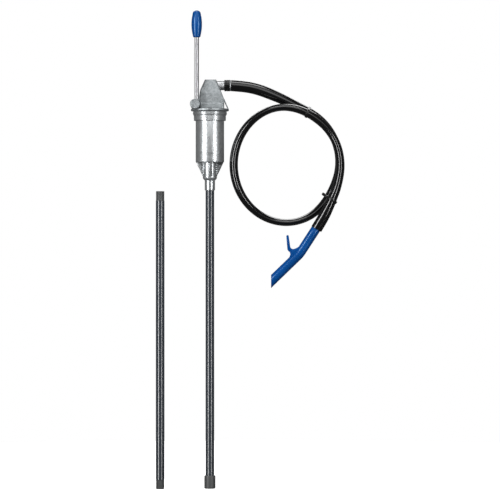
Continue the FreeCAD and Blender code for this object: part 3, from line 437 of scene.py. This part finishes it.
def hose_piece(path):
    """A tube that is round at its ends and flattened where it is coiled."""
    lengths = route_lengths(path)
    flat = flattening(path, lengths)
    bm = bmesh.new()
    rows = len(path)
    bmesh.ops.create_grid(bm, x_segments=rows - 1, y_segments=HOSE_RINGS, size=0.5)
    uv_layer = bm.loops.layers.uv.new("along_hose")
    places = {}
    for vertex in bm.verts:
        i = round((vertex.co.x + 0.5) * (rows - 1))
        k = round((vertex.co.y + 0.5) * HOSE_RINGS)
        places[vertex] = (i, k)
    for face in bm.faces:
        for loop in face.loops:
            i, k = places[loop.vert]
            loop[uv_layer].uv = (lengths[i], k / HOSE_RINGS)
    for vertex, (i, k) in places.items():
        tangent = (path[min(i + 1, rows - 1)] - path[max(i - 1, 0)]).normalized()
        across = Vector((0, 1, 0))
        across = (across - across.dot(tangent) * tangent).normalized()
        outward = tangent.cross(across)
        angle = 2 * math.pi * k / HOSE_RINGS
        thin = HOSE_RADIUS * (1 - flat[i])
        wide = HOSE_RADIUS * (1 + WIDENING * flat[i])
        vertex.co = path[i] + outward * thin * math.cos(angle) + across * wide * math.sin(angle)
    bmesh.ops.remove_doubles(bm, verts=bm.verts, dist=WELD)
    rims = [e for e in bm.edges if e.is_boundary]
    bmesh.ops.holes_fill(bm, edges=rims, sides=0)
    return finish_mesh(bm, "delivery_hose", "hose_pvc", "pump")


route = hose_route()
hose = hose_piece(route)
HOSE_NODES = ("hose_lead", "hose_coil", "hose_tail")
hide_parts(*HOSE_NODES)


# ---------------------------------------------------------------- turned and moulded pieces
# Sizes are millimetres on the pump's axis; scaled() brings them to metres.
CYLINDER_RADIUS = 26.25
CYLINDER_TOP = 6.4
CYLINDER_FOOT = -87.0
SPIGOT_BORE = 24.25
SPIGOT_FOOT = -11.0
PUMP_BORE = 23.5
PUMP_BORE_FOOT = -82.0
PORT_RADIUS = 9.5
THROAT_RADIUS = 6.5
THROAT_TOP = -106.0
TUBE_STOP = -112.0
BOSS_RADIUS = 13.0
BOSS_FOOT = -120.0
NECK_RADIUS = 9.5
NECK_FOOT = -138.6
WEB_COUNT = 4
WEB_FIRST_TURN = 6
WEB_HALF_THICKNESS = 2.4
ADAPTER_BORE = 26.3
RIM_RADIUS = 31.5
RIM_HEIGHT = 7.8
RIM_RIDGE_DEPTH = 0.28
THREAD_RADIUS = 29.8
THREAD_LENGTH = 9.8
THREAD_PITCH = 2.31
THREAD_DEPTH = 0.5
TUBE_RADIUS = 8.0
TUBE_BORE = 6.8
TUBE_FIT = 8.05
TUBE_TOP = -114.0
TUBE_FOOT = -674.0
EXTENSION_X = -92.0
EXTENSION_TOP = -140.0
EXTENSION_FOOT = -691.0
EXTENSION_THREAD = 17.0
EXTENSION_THREAD_RADIUS = 7.9
EXTENSION_THREAD_PITCH = 1.8
EXTENSION_THREAD_DEPTH = 0.55
EXTENSION_END_RADIUS = 7.2
COUPLING_RADIUS = 10.5
COUPLING_SOCKET = 7.5
COUPLING_TOP = -666.0
COUPLING_FOOT = -690.0
LEVER_X = -23.9
LEVER_Y = -27.25
LEVER_FOOT = 25.3
LEVER_TOP = 176.8
LEVER_RADIUS = 4.0
LEVER_FIT = 4.02
GRIP_FOOT = 142.8
GRIP_TOP = 192.3
GRIP_RADIUS = 9.7
SHAFT_X = -27.2
SHAFT_Z = 20.2
HUB_RADIUS = 9.2
HUB_BACK = -20.5
HUB_FRONT = -34.0
SPOUT_X = 9.0
SPOUT_Z = 55.4
NIPPLE_BORE = 6.5
NIPPLE_RADIUS = 8.6
NIPPLE_LENGTH = 30.0
BARB_COUNT = 4
BARB_START = 19.5
BARB_PITCH = 2.6
CUFF_START = 26.8
CUFF_END = 39.0
CUFF_RADIUS = 10.65
CUFF_BORE = 8.7
# Where the crimp groove starts and ends, in millimetres back from the cuff's end; its faces also carry a
# painted highlight.
CRIMP_AND_PAINTED_HIGHLIGHT_START = 2.1
CRIMP_AND_PAINTED_HIGHLIGHT_END = 0.4


def scaled(profile):
    return [(radius * MM, height * MM) for radius, height in profile]


def at(x, y=0.0):
    return Matrix.Translation((x * MM, y * MM, 0))


def arc(start, middle, end, steps=10):
    """Points of the circle through three points of an outline, both ends included."""
    (ax, ay), (bx, by), (cx, cy) = start, middle, end
    d = 2 * (ax * (by - cy) + bx * (cy - ay) + cx * (ay - by))
    a2, b2, c2 = ax * ax + ay * ay, bx * bx + by * by, cx * cx + cy * cy
    ux = (a2 * (by - cy) + b2 * (cy - ay) + c2 * (ay - by)) / d
    uy = (a2 * (cx - bx) + b2 * (ax - cx) + c2 * (bx - ax)) / d
    radius = math.hypot(ax - ux, ay - uy)
    first = math.atan2(ay - uy, ax - ux)
    via = (math.atan2(by - uy, bx - ux) - first) % (2 * math.pi)
    last = (math.atan2(cy - uy, cx - ux) - first) % (2 * math.pi)
    sweep = last if via <= last else last - 2 * math.pi
    turns = [first + sweep * i / steps for i in range(steps + 1)]
    return [(ux + radius * math.cos(t), uy + radius * math.sin(t)) for t in turns]


def bung_adapter():
    """The collar: a rounded grip ring with fine ridges above the drum thread."""
    profile = [(ADAPTER_BORE, RIM_HEIGHT)]
    shoulder = RIM_RADIUS - 1.2
    rim = arc((shoulder, RIM_HEIGHT), (RIM_RADIUS, RIM_HEIGHT / 2), (shoulder, 0), 24)
    for i, (radius, height) in enumerate(rim):
        groove = RIM_RIDGE_DEPTH if i % 4 == 2 and 2 < i < 23 else 0.0
        profile.append((radius - groove, height))
    profile.append((THREAD_RADIUS - 0.9, -0.1))
    profile += thread_profile(THREAD_RADIUS, -0.2, -THREAD_LENGTH, THREAD_PITCH, THREAD_DEPTH)
    profile += [(THREAD_RADIUS - 1.3, -THREAD_LENGTH), (ADAPTER_BORE, -THREAD_LENGTH)]
    return turned_piece("collar", scaled(profile), "cast_alloy_bright", "pump", steps=128)


def cylinder_casting():
    """The pump barrel with its rounded foot, webs, inlet boss, neck and the bores inside."""
    wall, low = CYLINDER_RADIUS, CYLINDER_FOOT
    foot = arc((wall, low + 1.8), (wall - 0.55, low + 0.55), (wall - 1.8, low), 6)
    shelf = BOSS_FOOT + 4.4
    boss = arc((BOSS_RADIUS, shelf), (BOSS_RADIUS - 0.7, shelf - 1.6), (NECK_RADIUS, BOSS_FOOT), 6)
    end = NECK_FOOT
    neck = arc((NECK_RADIUS, end + 1.2), (NECK_RADIUS - 0.35, end + 0.35), (NECK_RADIUS - 1.2, end), 4)
    outside = [(SPIGOT_BORE, CYLINDER_TOP), (wall, CYLINDER_TOP)] + foot
    outside += [(BOSS_RADIUS + 0.4, low), (BOSS_RADIUS, low - 0.6)] + boss + neck
    inside = [
        (TUBE_FIT, NECK_FOOT), (TUBE_FIT, TUBE_STOP), (THROAT_RADIUS, TUBE_STOP), (THROAT_RADIUS, THROAT_TOP),
        (PORT_RADIUS, THROAT_TOP), (PORT_RADIUS, PUMP_BORE_FOOT), (PUMP_BORE, PUMP_BORE_FOOT),
        (PUMP_BORE, SPIGOT_FOOT), (SPIGOT_BORE, SPIGOT_FOOT),
    ]
    bm = bmesh.new()
    turn_profile(bm, scaled(outside + inside), steps=128)
    web = [
        (BOSS_RADIUS - 1.5, low + 1), (wall - 1.5, low + 1), (wall - 1.7, low - 1),
        (BOSS_RADIUS + 0.2, TUBE_STOP), (BOSS_RADIUS - 1.5, TUBE_STOP),
    ]
    for i in range(WEB_COUNT):
        turn = Matrix.Rotation(math.radians(WEB_FIRST_TURN + 360 * i / WEB_COUNT), 4, "Z")
        extrude_outline(bm, scaled(web), -WEB_HALF_THICKNESS * MM, WEB_HALF_THICKNESS * MM, turn)
    return finish_mesh(bm, "pump_barrel", "cast_alloy_bright", "pump", 0.35 * MM)


def suction_tube():
    """The drop tube, from its stop in the neck to the sleeve at its foot."""
    profile = [
        (TUBE_BORE, TUBE_TOP), (TUBE_RADIUS, TUBE_TOP), (TUBE_RADIUS, TUBE_FOOT), (TUBE_BORE, TUBE_FOOT),
    ]
    return turned_piece("drop_tube", scaled(profile), "tube_plastic", "pump", steps=64)


def extension_tube():
    """The loose tube: plain in the middle, with a moulded thread at each end."""
    low = EXTENSION_FOOT + EXTENSION_THREAD
    high = EXTENSION_TOP - EXTENSION_THREAD
    ridges = (EXTENSION_THREAD_PITCH, EXTENSION_THREAD_DEPTH)
    root = EXTENSION_THREAD_RADIUS - EXTENSION_THREAD_DEPTH
    upper = [(TUBE_BORE, EXTENSION_TOP), (EXTENSION_END_RADIUS, EXTENSION_TOP)]
    upper += thread_profile(EXTENSION_THREAD_RADIUS, EXTENSION_TOP - 0.3, high, *ridges)
    lower = thread_profile(EXTENSION_THREAD_RADIUS, low, EXTENSION_FOOT + 0.3, *ridges)
    lower += [(EXTENSION_END_RADIUS, EXTENSION_FOOT), (TUBE_BORE, EXTENSION_FOOT)]
    shank = [(root, high - 0.1), (TUBE_RADIUS, high - 0.5), (TUBE_RADIUS, low + 0.5), (root, low + 0.1)]
    profile = scaled(upper + shank + lower)
    piece = turned_piece("spare_tube", profile, "tube_plastic", "extension", at(EXTENSION_X), steps=64)
    piece.data.materials.append(FINISHES["fitting_plastic"])
    for face in piece.data.polygons:
        height = face.center.z / MM
        if height > high - 0.3 or height < low + 0.3:
            face.material_index = 1
    return piece


def tube_coupling():
    """The sleeve at the tube's foot, with a stop for the tube and a socket below it."""
    wall, high = COUPLING_RADIUS, COUPLING_TOP
    top = arc((wall - 1.3, high), (wall - 0.3, high - 0.3), (wall, high - 1.2), 6)
    foot = [(radius, high + COUPLING_FOOT - height) for radius, height in reversed(top)]
    socket = [(COUPLING_SOCKET, COUPLING_FOOT), (COUPLING_SOCKET, TUBE_FOOT)]
    inside = socket + [(TUBE_FIT, TUBE_FOOT), (TUBE_FIT, high)]
    return turned_piece("foot_sleeve", scaled(top + foot + inside), "fitting_plastic", "pump", steps=64)


def lever_rod():
    """The lever's round bar, with a small chamfer at each end."""
    profile = [
        (0, LEVER_FOOT), (LEVER_RADIUS - 0.6, LEVER_FOOT), (LEVER_RADIUS, LEVER_FOOT + 0.6),
        (LEVER_RADIUS, LEVER_TOP - 0.6), (LEVER_RADIUS - 0.6, LEVER_TOP), (0, LEVER_TOP),
    ]
    place = at(LEVER_X, LEVER_Y)
    return turned_piece("lever_bar", scaled(profile), "chromed_steel", "lever", place, steps=64)


def lever_grip():
    """The barrel grip with its end ring and the fine moulding line round its crown."""
    length = GRIP_TOP - GRIP_FOOT
    foot = arc((5.2, GRIP_FOOT), (6.4, GRIP_FOOT + 0.5), (6.95, GRIP_FOOT + 2.2), 6)
    widest = (GRIP_RADIUS, GRIP_TOP - 0.46 * length)
    barrel = arc((7.0, GRIP_FOOT + 0.05 * length), widest, (7.0, GRIP_TOP - 0.08 * length), 30)
    crown = arc(barrel[-1], (4.9, GRIP_TOP - 0.025 * length), (2.0, GRIP_TOP), 10)
    groove = [(radius - (0.25 if i == 26 else 0), height) for i, (radius, height) in enumerate(barrel)]
    inside = [(0, GRIP_TOP), (0, LEVER_TOP), (LEVER_FIT, LEVER_TOP), (LEVER_FIT, GRIP_FOOT)]
    profile = scaled(foot + groove + crown + inside)
    return turned_piece("lever_knob", profile, "blue_plastic", "lever", at(LEVER_X, LEVER_Y), steps=72)


def lever_hub():
    """The wheel on the shaft's end: a dished face, a turned rim and the rod's socket."""
    width = HUB_BACK - HUB_FRONT
    edge = arc((HUB_RADIUS, 1.3), (HUB_RADIUS - 0.4, 0.4), (HUB_RADIUS - 1.3, 0), 5)
    rear = [(radius, width - height) for radius, height in reversed(edge)]
    face = [(6.9, 0.0), (6.5, 0.5), (3.4, 0.5), (3.0, 0.9), (0, 0.9), (0, width)]
    bm = bmesh.new()
    place = Matrix.Translation((SHAFT_X * MM, HUB_FRONT * MM, SHAFT_Z * MM)) @ along((0, 1, 0))
    turn_profile(bm, scaled(rear + edge + face), place, 72)
    top = SHAFT_Z + HUB_RADIUS
    socket = [
        (LEVER_FIT, LEVER_FOOT), (LEVER_FIT, top), (5.6, top), (6.1, top - 0.5), (6.2, SHAFT_Z + 2),
        (LEVER_FIT, SHAFT_Z + 2),
    ]
    turn_profile(bm, scaled(socket), at(LEVER_X, LEVER_Y), 48)
    return finish_mesh(bm, "lever_wheel", "cast_alloy", "lever")


def hose_cuff():
    """The ferrule over the spout: rounded ends, a crimped waist and a crimp groove whose faces are plated
    steel, a painted highlight on the black cuff.
    """
    length = CUFF_END - CUFF_START
    start = arc((CUFF_RADIUS - 1, 0), (CUFF_RADIUS - 0.3, 0.3), (CUFF_RADIUS, 1), 5)
    waist = [(CUFF_RADIUS, 2.6), (CUFF_RADIUS - 0.35, 3.1), (CUFF_RADIUS - 0.35, 4.0), (CUFF_RADIUS, 4.5)]
    crimp = [
        (CUFF_RADIUS, length - CRIMP_AND_PAINTED_HIGHLIGHT_START), (CUFF_RADIUS - 0.8, length - 1.5),
        (CUFF_RADIUS - 0.1, length - CRIMP_AND_PAINTED_HIGHLIGHT_END),
    ]
    profile = [(CUFF_BORE, 0)] + start + waist + crimp + [(CUFF_RADIUS - 0.3, length), (CUFF_BORE, length)]
    place = Matrix.Translation((CUFF_START * MM, 0, SPOUT_Z * MM)) @ along((1, 0, 0))
    piece = turned_piece("spout_ferrule", scaled(profile), "hose_rubber", "pump", place, steps=72)
    # Painted highlight: the crimp groove's faces get bright plated steel, a light line on the black rubber
    # cuff.
    piece.data.materials.append(FINISHES["plated_steel"])
    for face in piece.data.polygons:
        if CUFF_END - CRIMP_AND_PAINTED_HIGHLIGHT_START < face.center.x / MM < CUFF_END - CRIMP_AND_PAINTED_HIGHLIGHT_END:
            face.material_index = 1
    return piece


def spout_nipple():
    """The hose barb on the head, with shallow barbs under the hose."""
    valley = NIPPLE_RADIUS - 0.3
    neck = [(NIPPLE_BORE, 0), (NIPPLE_RADIUS, 0), (NIPPLE_RADIUS, 17.6), (valley, 18.2)]
    barbs = []
    for i in range(BARB_COUNT):
        low = BARB_START + BARB_PITCH * i
        barbs += [(valley, low), (NIPPLE_RADIUS, low + 2.4)]
    profile = neck + barbs + [(7.9, NIPPLE_LENGTH), (NIPPLE_BORE, NIPPLE_LENGTH)]
    place = Matrix.Translation((SPOUT_X * MM, 0, SPOUT_Z * MM)) @ along((1, 0, 0))
    return turned_piece("spout_barb", scaled(profile), "plated_steel", "pump", place, steps=72)


NOZZLE_RADIUS = 8.8
NOZZLE_BORE = 6.2
NOZZLE_INLET = (195.4, -209.9)
NOZZLE_BEND = (165.55, -255.86)
NOZZLE_BEND_REACH = 5.5
NOZZLE_TIP_X = 112.9
NOZZLE_TIP_LEAN = math.radians(46)
NOZZLE_SIDES = 48
HOOK_X = 143.2
HOOK_FOOT_Z = -246.8
HOOK_HALF_DEPTH = 4.0


def nozzle_path():
    """Centreline of the nozzle in its own plane: two straight lengths and a short bend."""
    start = Vector(NOZZLE_INLET)
    bend = Vector(NOZZLE_BEND)
    first = (bend - start).normalized()
    last = Vector((-math.sin(NOZZLE_TIP_LEAN), -math.cos(NOZZLE_TIP_LEAN)))
    before = bend - first * NOZZLE_BEND_REACH
    after = bend + last * NOZZLE_BEND_REACH
    path = [start + (before - start) * i / 4 for i in range(4)]
    for i in range(9):
        t = i / 8
        path.append(before * (1 - t) ** 2 + bend * 2 * t * (1 - t) + after * t * t)
    reach = (after.x - NOZZLE_TIP_X) / -last.x
    path += [after + last * reach * i / 4 for i in range(1, 5)]
    return path


def nozzle_tube(bm, path):
    """The bent tube: along its outside, over the tip that is cut upright, and back along its bore."""
    last = len(path) - 1
    rounds = [(i, NOZZLE_RADIUS) for i in range(last + 1)]
    rounds += [(i, NOZZLE_BORE) for i in range(last, -1, -1)]
    rounds.append(rounds[0])
    rows = len(rounds) - 1
    bmesh.ops.create_grid(bm, x_segments=rows, y_segments=NOZZLE_SIDES, size=0.5)
    for vertex in bm.verts:
        i, radius = rounds[round((vertex.co.x + 0.5) * rows)]
        angle = 2 * math.pi * round((vertex.co.y + 0.5) * NOZZLE_SIDES) / NOZZLE_SIDES
        heading = (path[min(i + 1, last)] - path[max(i - 1, 0)]).normalized()
        side = Vector((-heading.y, heading.x))
        spot = path[i] + side * radius * math.cos(angle)
        if i == last:
            spot += heading * (spot.x - NOZZLE_TIP_X) / -heading.x
        vertex.co = (spot.x * MM, TAIL[-1][1] + radius * math.sin(angle) * MM, spot.y * MM)


def nozzle():
    """The blue spout: a bent tube with an open bore, and the hanging hook."""
    depth = TAIL[-1][1]
    bm = bmesh.new()
    nozzle_tube(bm, nozzle_path())
    extrude_outline(bm, hook_outline(), depth - HOOK_HALF_DEPTH * MM, depth + HOOK_HALF_DEPTH * MM)
    return finish_mesh(bm, "pouring_nozzle", "blue_plastic", "pump", 0.9 * MM, 3)


def hook_outline():
    """The hook: a round-topped arm, a curved saddle and a waist down to the tube."""
    x, z = HOOK_X, HOOK_FOOT_Z
    top = arc((x - 2.25, z + 23.2), (x, z + 25.5), (x + 2.25, z + 23.2), 8)
    corner = arc((x + 5.05, z + 3.7), (x + 7.2, z + 0.8), (x + 10.3, z - 0.1), 8)
    saddle = arc((x + 10.3, z - 0.1), (x + 18.3, z + 2.8), (x + 25.5, z + 10.8), 12)
    waist = arc((x + 2.7, z - 15.3), (x + 4.9, z - 10.2), (x + 3.8, z - 5.6), 8)
    elbow = arc((x + 3.8, z - 5.6), (x + 1.0, z - 3.2), (x - 0.4, z + 0.5), 8)
    root = [(x + 27.0, z - 4.0), (x + 10.5, z - 19.0)]
    return scaled(top + corner + saddle[1:] + root + waist + elbow[1:])


TIE_WIDTH = 4.8
TIE_THICKNESS = 1.3
TIE_LOCK_SIZE = (3.2, 6.5, 5.4)
TIE_STUB_SIZE = (1.6, 1.4, 4.4)
TIE_REACH = 32
TIE_LOCK_SUNK = 0.4
TIE_STUB_SUNK = 0.5
FRONT = (0, -1)
LOOP_INSIDE = (-1, 0)
# Each band: its turn round the coil in degrees, its offset from the coil's line in
# millimetres, and the side that its lock is on.
UPPER_BAND = {"turn": -66.5, "offset": -2.5, "lock_side": FRONT}
LOWER_BAND = {"turn": 36.0, "offset": -4.0, "lock_side": LOOP_INSIDE}


def block(bm, middle, size, matrix):
    """A rectangular block in a tie's own axes, in millimetres."""
    place = Matrix.Translation(Vector(middle) * MM) @ Matrix.Diagonal((*(Vector(size) * MM), 1))
    bmesh.ops.create_cube(bm, size=1.0, matrix=matrix @ place)


def cable_tie(name, turn, offset, lock_side):
    """A nylon tie drawn tight round the strands that pass through its plane."""
    side = Vector(lock_side)
    angle = math.radians(turn)
    half_width = COIL_HALF_WIDTH + offset * MM
    half_height = COIL_HALF_HEIGHT + offset * MM
    centre = COIL_CENTRE + Vector((half_width * math.cos(angle), 0, -half_height * math.sin(angle)))
    stand = Matrix.Translation(centre) @ Matrix.Rotation(angle, 4, "Y")
    to_tie = stand.inverted()
    near = [(to_tie @ vertex.co) / MM for vertex in hose.data.vertices]
    held = [Vector((v.x, v.y)) for v in near if abs(v.z) < TIE_WIDTH / 2 and abs(v.x) < TIE_REACH]
    hull = [held[i] for i in convex_hull_2d(held)]
    bm = bmesh.new()
    ring = [bm.verts.new((spot.x, spot.y, -TIE_WIDTH / 2)) for spot in hull]
    edges = [bm.edges.new((a, b)) for a, b in zip(ring, ring[1:] + ring[:1])]
    drawn = bmesh.ops.extrude_edge_only(bm, edges=edges)["geom"]
    lifted = [part for part in drawn if isinstance(part, bmesh.types.BMVert)]
    bmesh.ops.translate(bm, verts=lifted, vec=(0, 0, TIE_WIDTH))
    middle = sum(hull, Vector((0, 0))) / len(hull)
    inside = bm.faces[:]
    bmesh.ops.recalc_face_normals(bm, faces=inside)
    bm.faces.ensure_lookup_table()
    first = bm.faces[0]
    outward = (first.calc_center_median().xy - middle).dot(first.normal.xy)
    bmesh.ops.solidify(bm, geom=inside, thickness=-TIE_THICKNESS if outward > 0 else TIE_THICKNESS)
    bmesh.ops.transform(bm, matrix=stand @ Matrix.Diagonal((MM, MM, MM, 1)), verts=bm.verts)
    top = max(hull, key=side.dot)
    edge = top.dot(side) + TIE_THICKNESS
    level = (top - side * top.dot(side)) * MM
    facing = stand @ Matrix.Translation((*level, 0)) @ Matrix.Rotation(math.atan2(side.y, side.x), 4, "Z")
    block(bm, (edge + TIE_LOCK_SIZE[0] / 2 - TIE_LOCK_SUNK, 0, 0), TIE_LOCK_SIZE, facing)
    block(bm, (edge + TIE_LOCK_SIZE[0] + TIE_STUB_SIZE[0] / 2 - TIE_STUB_SUNK, 0, 0), TIE_STUB_SIZE, facing)
    return finish_mesh(bm, name, "tie_nylon", "pump", 0.25 * MM)


REPLACEMENTS = {
    "cable_tie_upper": cable_tie("upper_tie_band", **UPPER_BAND),
    "cable_tie_lower": cable_tie("lower_tie_band", **LOWER_BAND),
    "bung_adapter": bung_adapter(),
    "cylinder_casting": cylinder_casting(),
    "suction_tube": suction_tube(),
    "extension_tube": extension_tube(),
    "tube_coupling": tube_coupling(),
    "lever_rod": lever_rod(),
    "lever_grip": lever_grip(),
    "lever_hub": lever_hub(),
    "hose_cuff": hose_cuff(),
    "spout_nipple": spout_nipple(),
    "nozzle": nozzle(),
}
for replaced, piece in REPLACEMENTS.items():
    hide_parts(replaced)


# ---------------------------------------------------------------- carried-over CAD nodes
def dress_nodes():
    slots = {part["node"]: part["material_slot"] for part in frame["record"]["subparts"]}
    for name, piece in NODES.items():
        if name in REPLACEMENTS or name in HOSE_NODES:
            continue
        piece.data.materials.clear()
        piece.data.materials.append(FINISHES[slots[name]])


dress_nodes()


# ---------------------------------------------------------------- floor, light and camera
FLOOR_X = 0.07
FLOOR_RADIUS = 1.6
FLOOR_GAP = 0.012
CAMERA_PLACE = (0.0742, -5.55, -0.2488)
CAMERA_LENS = 216
# Each softbox: its place from the object's middle, its width and height, and its power.
SOFTBOXES = {
    "left_softbox": ((-1.75, -1.75, 0.35), (0.50, 2.2), 62),
    "right_softbox": ((1.75, -2.0, 0.35), (0.38, 2.2), 44),
    "top_softbox": ((0, -0.5, 2.2), (1.4, 0.8), 20),
    "front_top_softbox": ((0, -2.0, 1.4), (1.4, 1.5), 12),
    "back_softbox": ((0, 2.1, 1.5), (1.6, 1.0), 15),
}


def floor():
    bm = bmesh.new()
    bmesh.ops.create_circle(bm, cap_ends=True, segments=96, radius=FLOOR_RADIUS)
    mesh = bpy.data.meshes.new("floor")
    bm.to_mesh(mesh)
    bm.free()
    piece = bpy.data.objects.new("floor", mesh)
    piece.location = (FLOOR_X, 0, CAD_BOX[0][2] - FLOOR_GAP)
    bpy.context.scene.collection.objects.link(piece)
    material, tree, shader = new_material("pale_floor")
    grain = noise(tree, object_space(tree), 3, 2)
    colour = tint(tree, grain, (0.93, 0.93, 0.93), (0.96, 0.96, 0.96))
    tree.links.new(colour, shader.inputs["Base Color"])
    shader.inputs["Roughness"].default_value = 0.8
    shader.inputs["Emission Color"].default_value = (1, 1, 1, 1)
    shader.inputs["Emission Strength"].default_value = 0.85
    mesh.materials.append(material)
    piece.visible_glossy = False
    piece.visible_diffuse = False


def softbox(name, place, target, size, power):
    light = bpy.data.lights.new(name, "AREA")
    light.shape = "RECTANGLE"
    light.size, light.size_y = size
    light.energy = power
    lamp = bpy.data.objects.new(name, light)
    lamp.location = place
    aim = Vector(target) - Vector(place)
    lamp.rotation_euler = aim.to_track_quat("-Z", "Y").to_euler()
    bpy.context.scene.collection.objects.link(lamp)


def studio():
    centre = (CAD_BOX[0] + CAD_BOX[1]) / 2
    for name, (offset, size, power) in SOFTBOXES.items():
        softbox(name, centre + Vector(offset), centre, size, power)
    world = bpy.data.worlds.new("studio")
    world.use_nodes = True
    tree = world.node_tree
    background = tree.nodes["Background"]
    background.inputs["Color"].default_value = (1, 1, 1, 1)
    ray = node(tree, "ShaderNodeLightPath")
    strength = node(tree, "ShaderNodeMapRange")
    strength.inputs["To Min"].default_value = 0.08
    strength.inputs["To Max"].default_value = 1.0
    tree.links.new(ray.outputs["Is Camera Ray"], strength.inputs["Value"])
    tree.links.new(strength.outputs["Result"], background.inputs["Strength"])
    bpy.context.scene.world = world
    bpy.context.scene.view_settings.view_transform = "Standard"


def camera():
    data = bpy.data.cameras.new("camera")
    data.sensor_width = 36
    data.lens = CAMERA_LENS
    data.clip_end = 100
    made = bpy.data.objects.new("camera", data)
    made.location = CAMERA_PLACE
    made.rotation_euler = (math.radians(90), 0, 0)
    bpy.context.scene.collection.objects.link(made)
    bpy.context.scene.camera = made


floor()
studio()
camera()
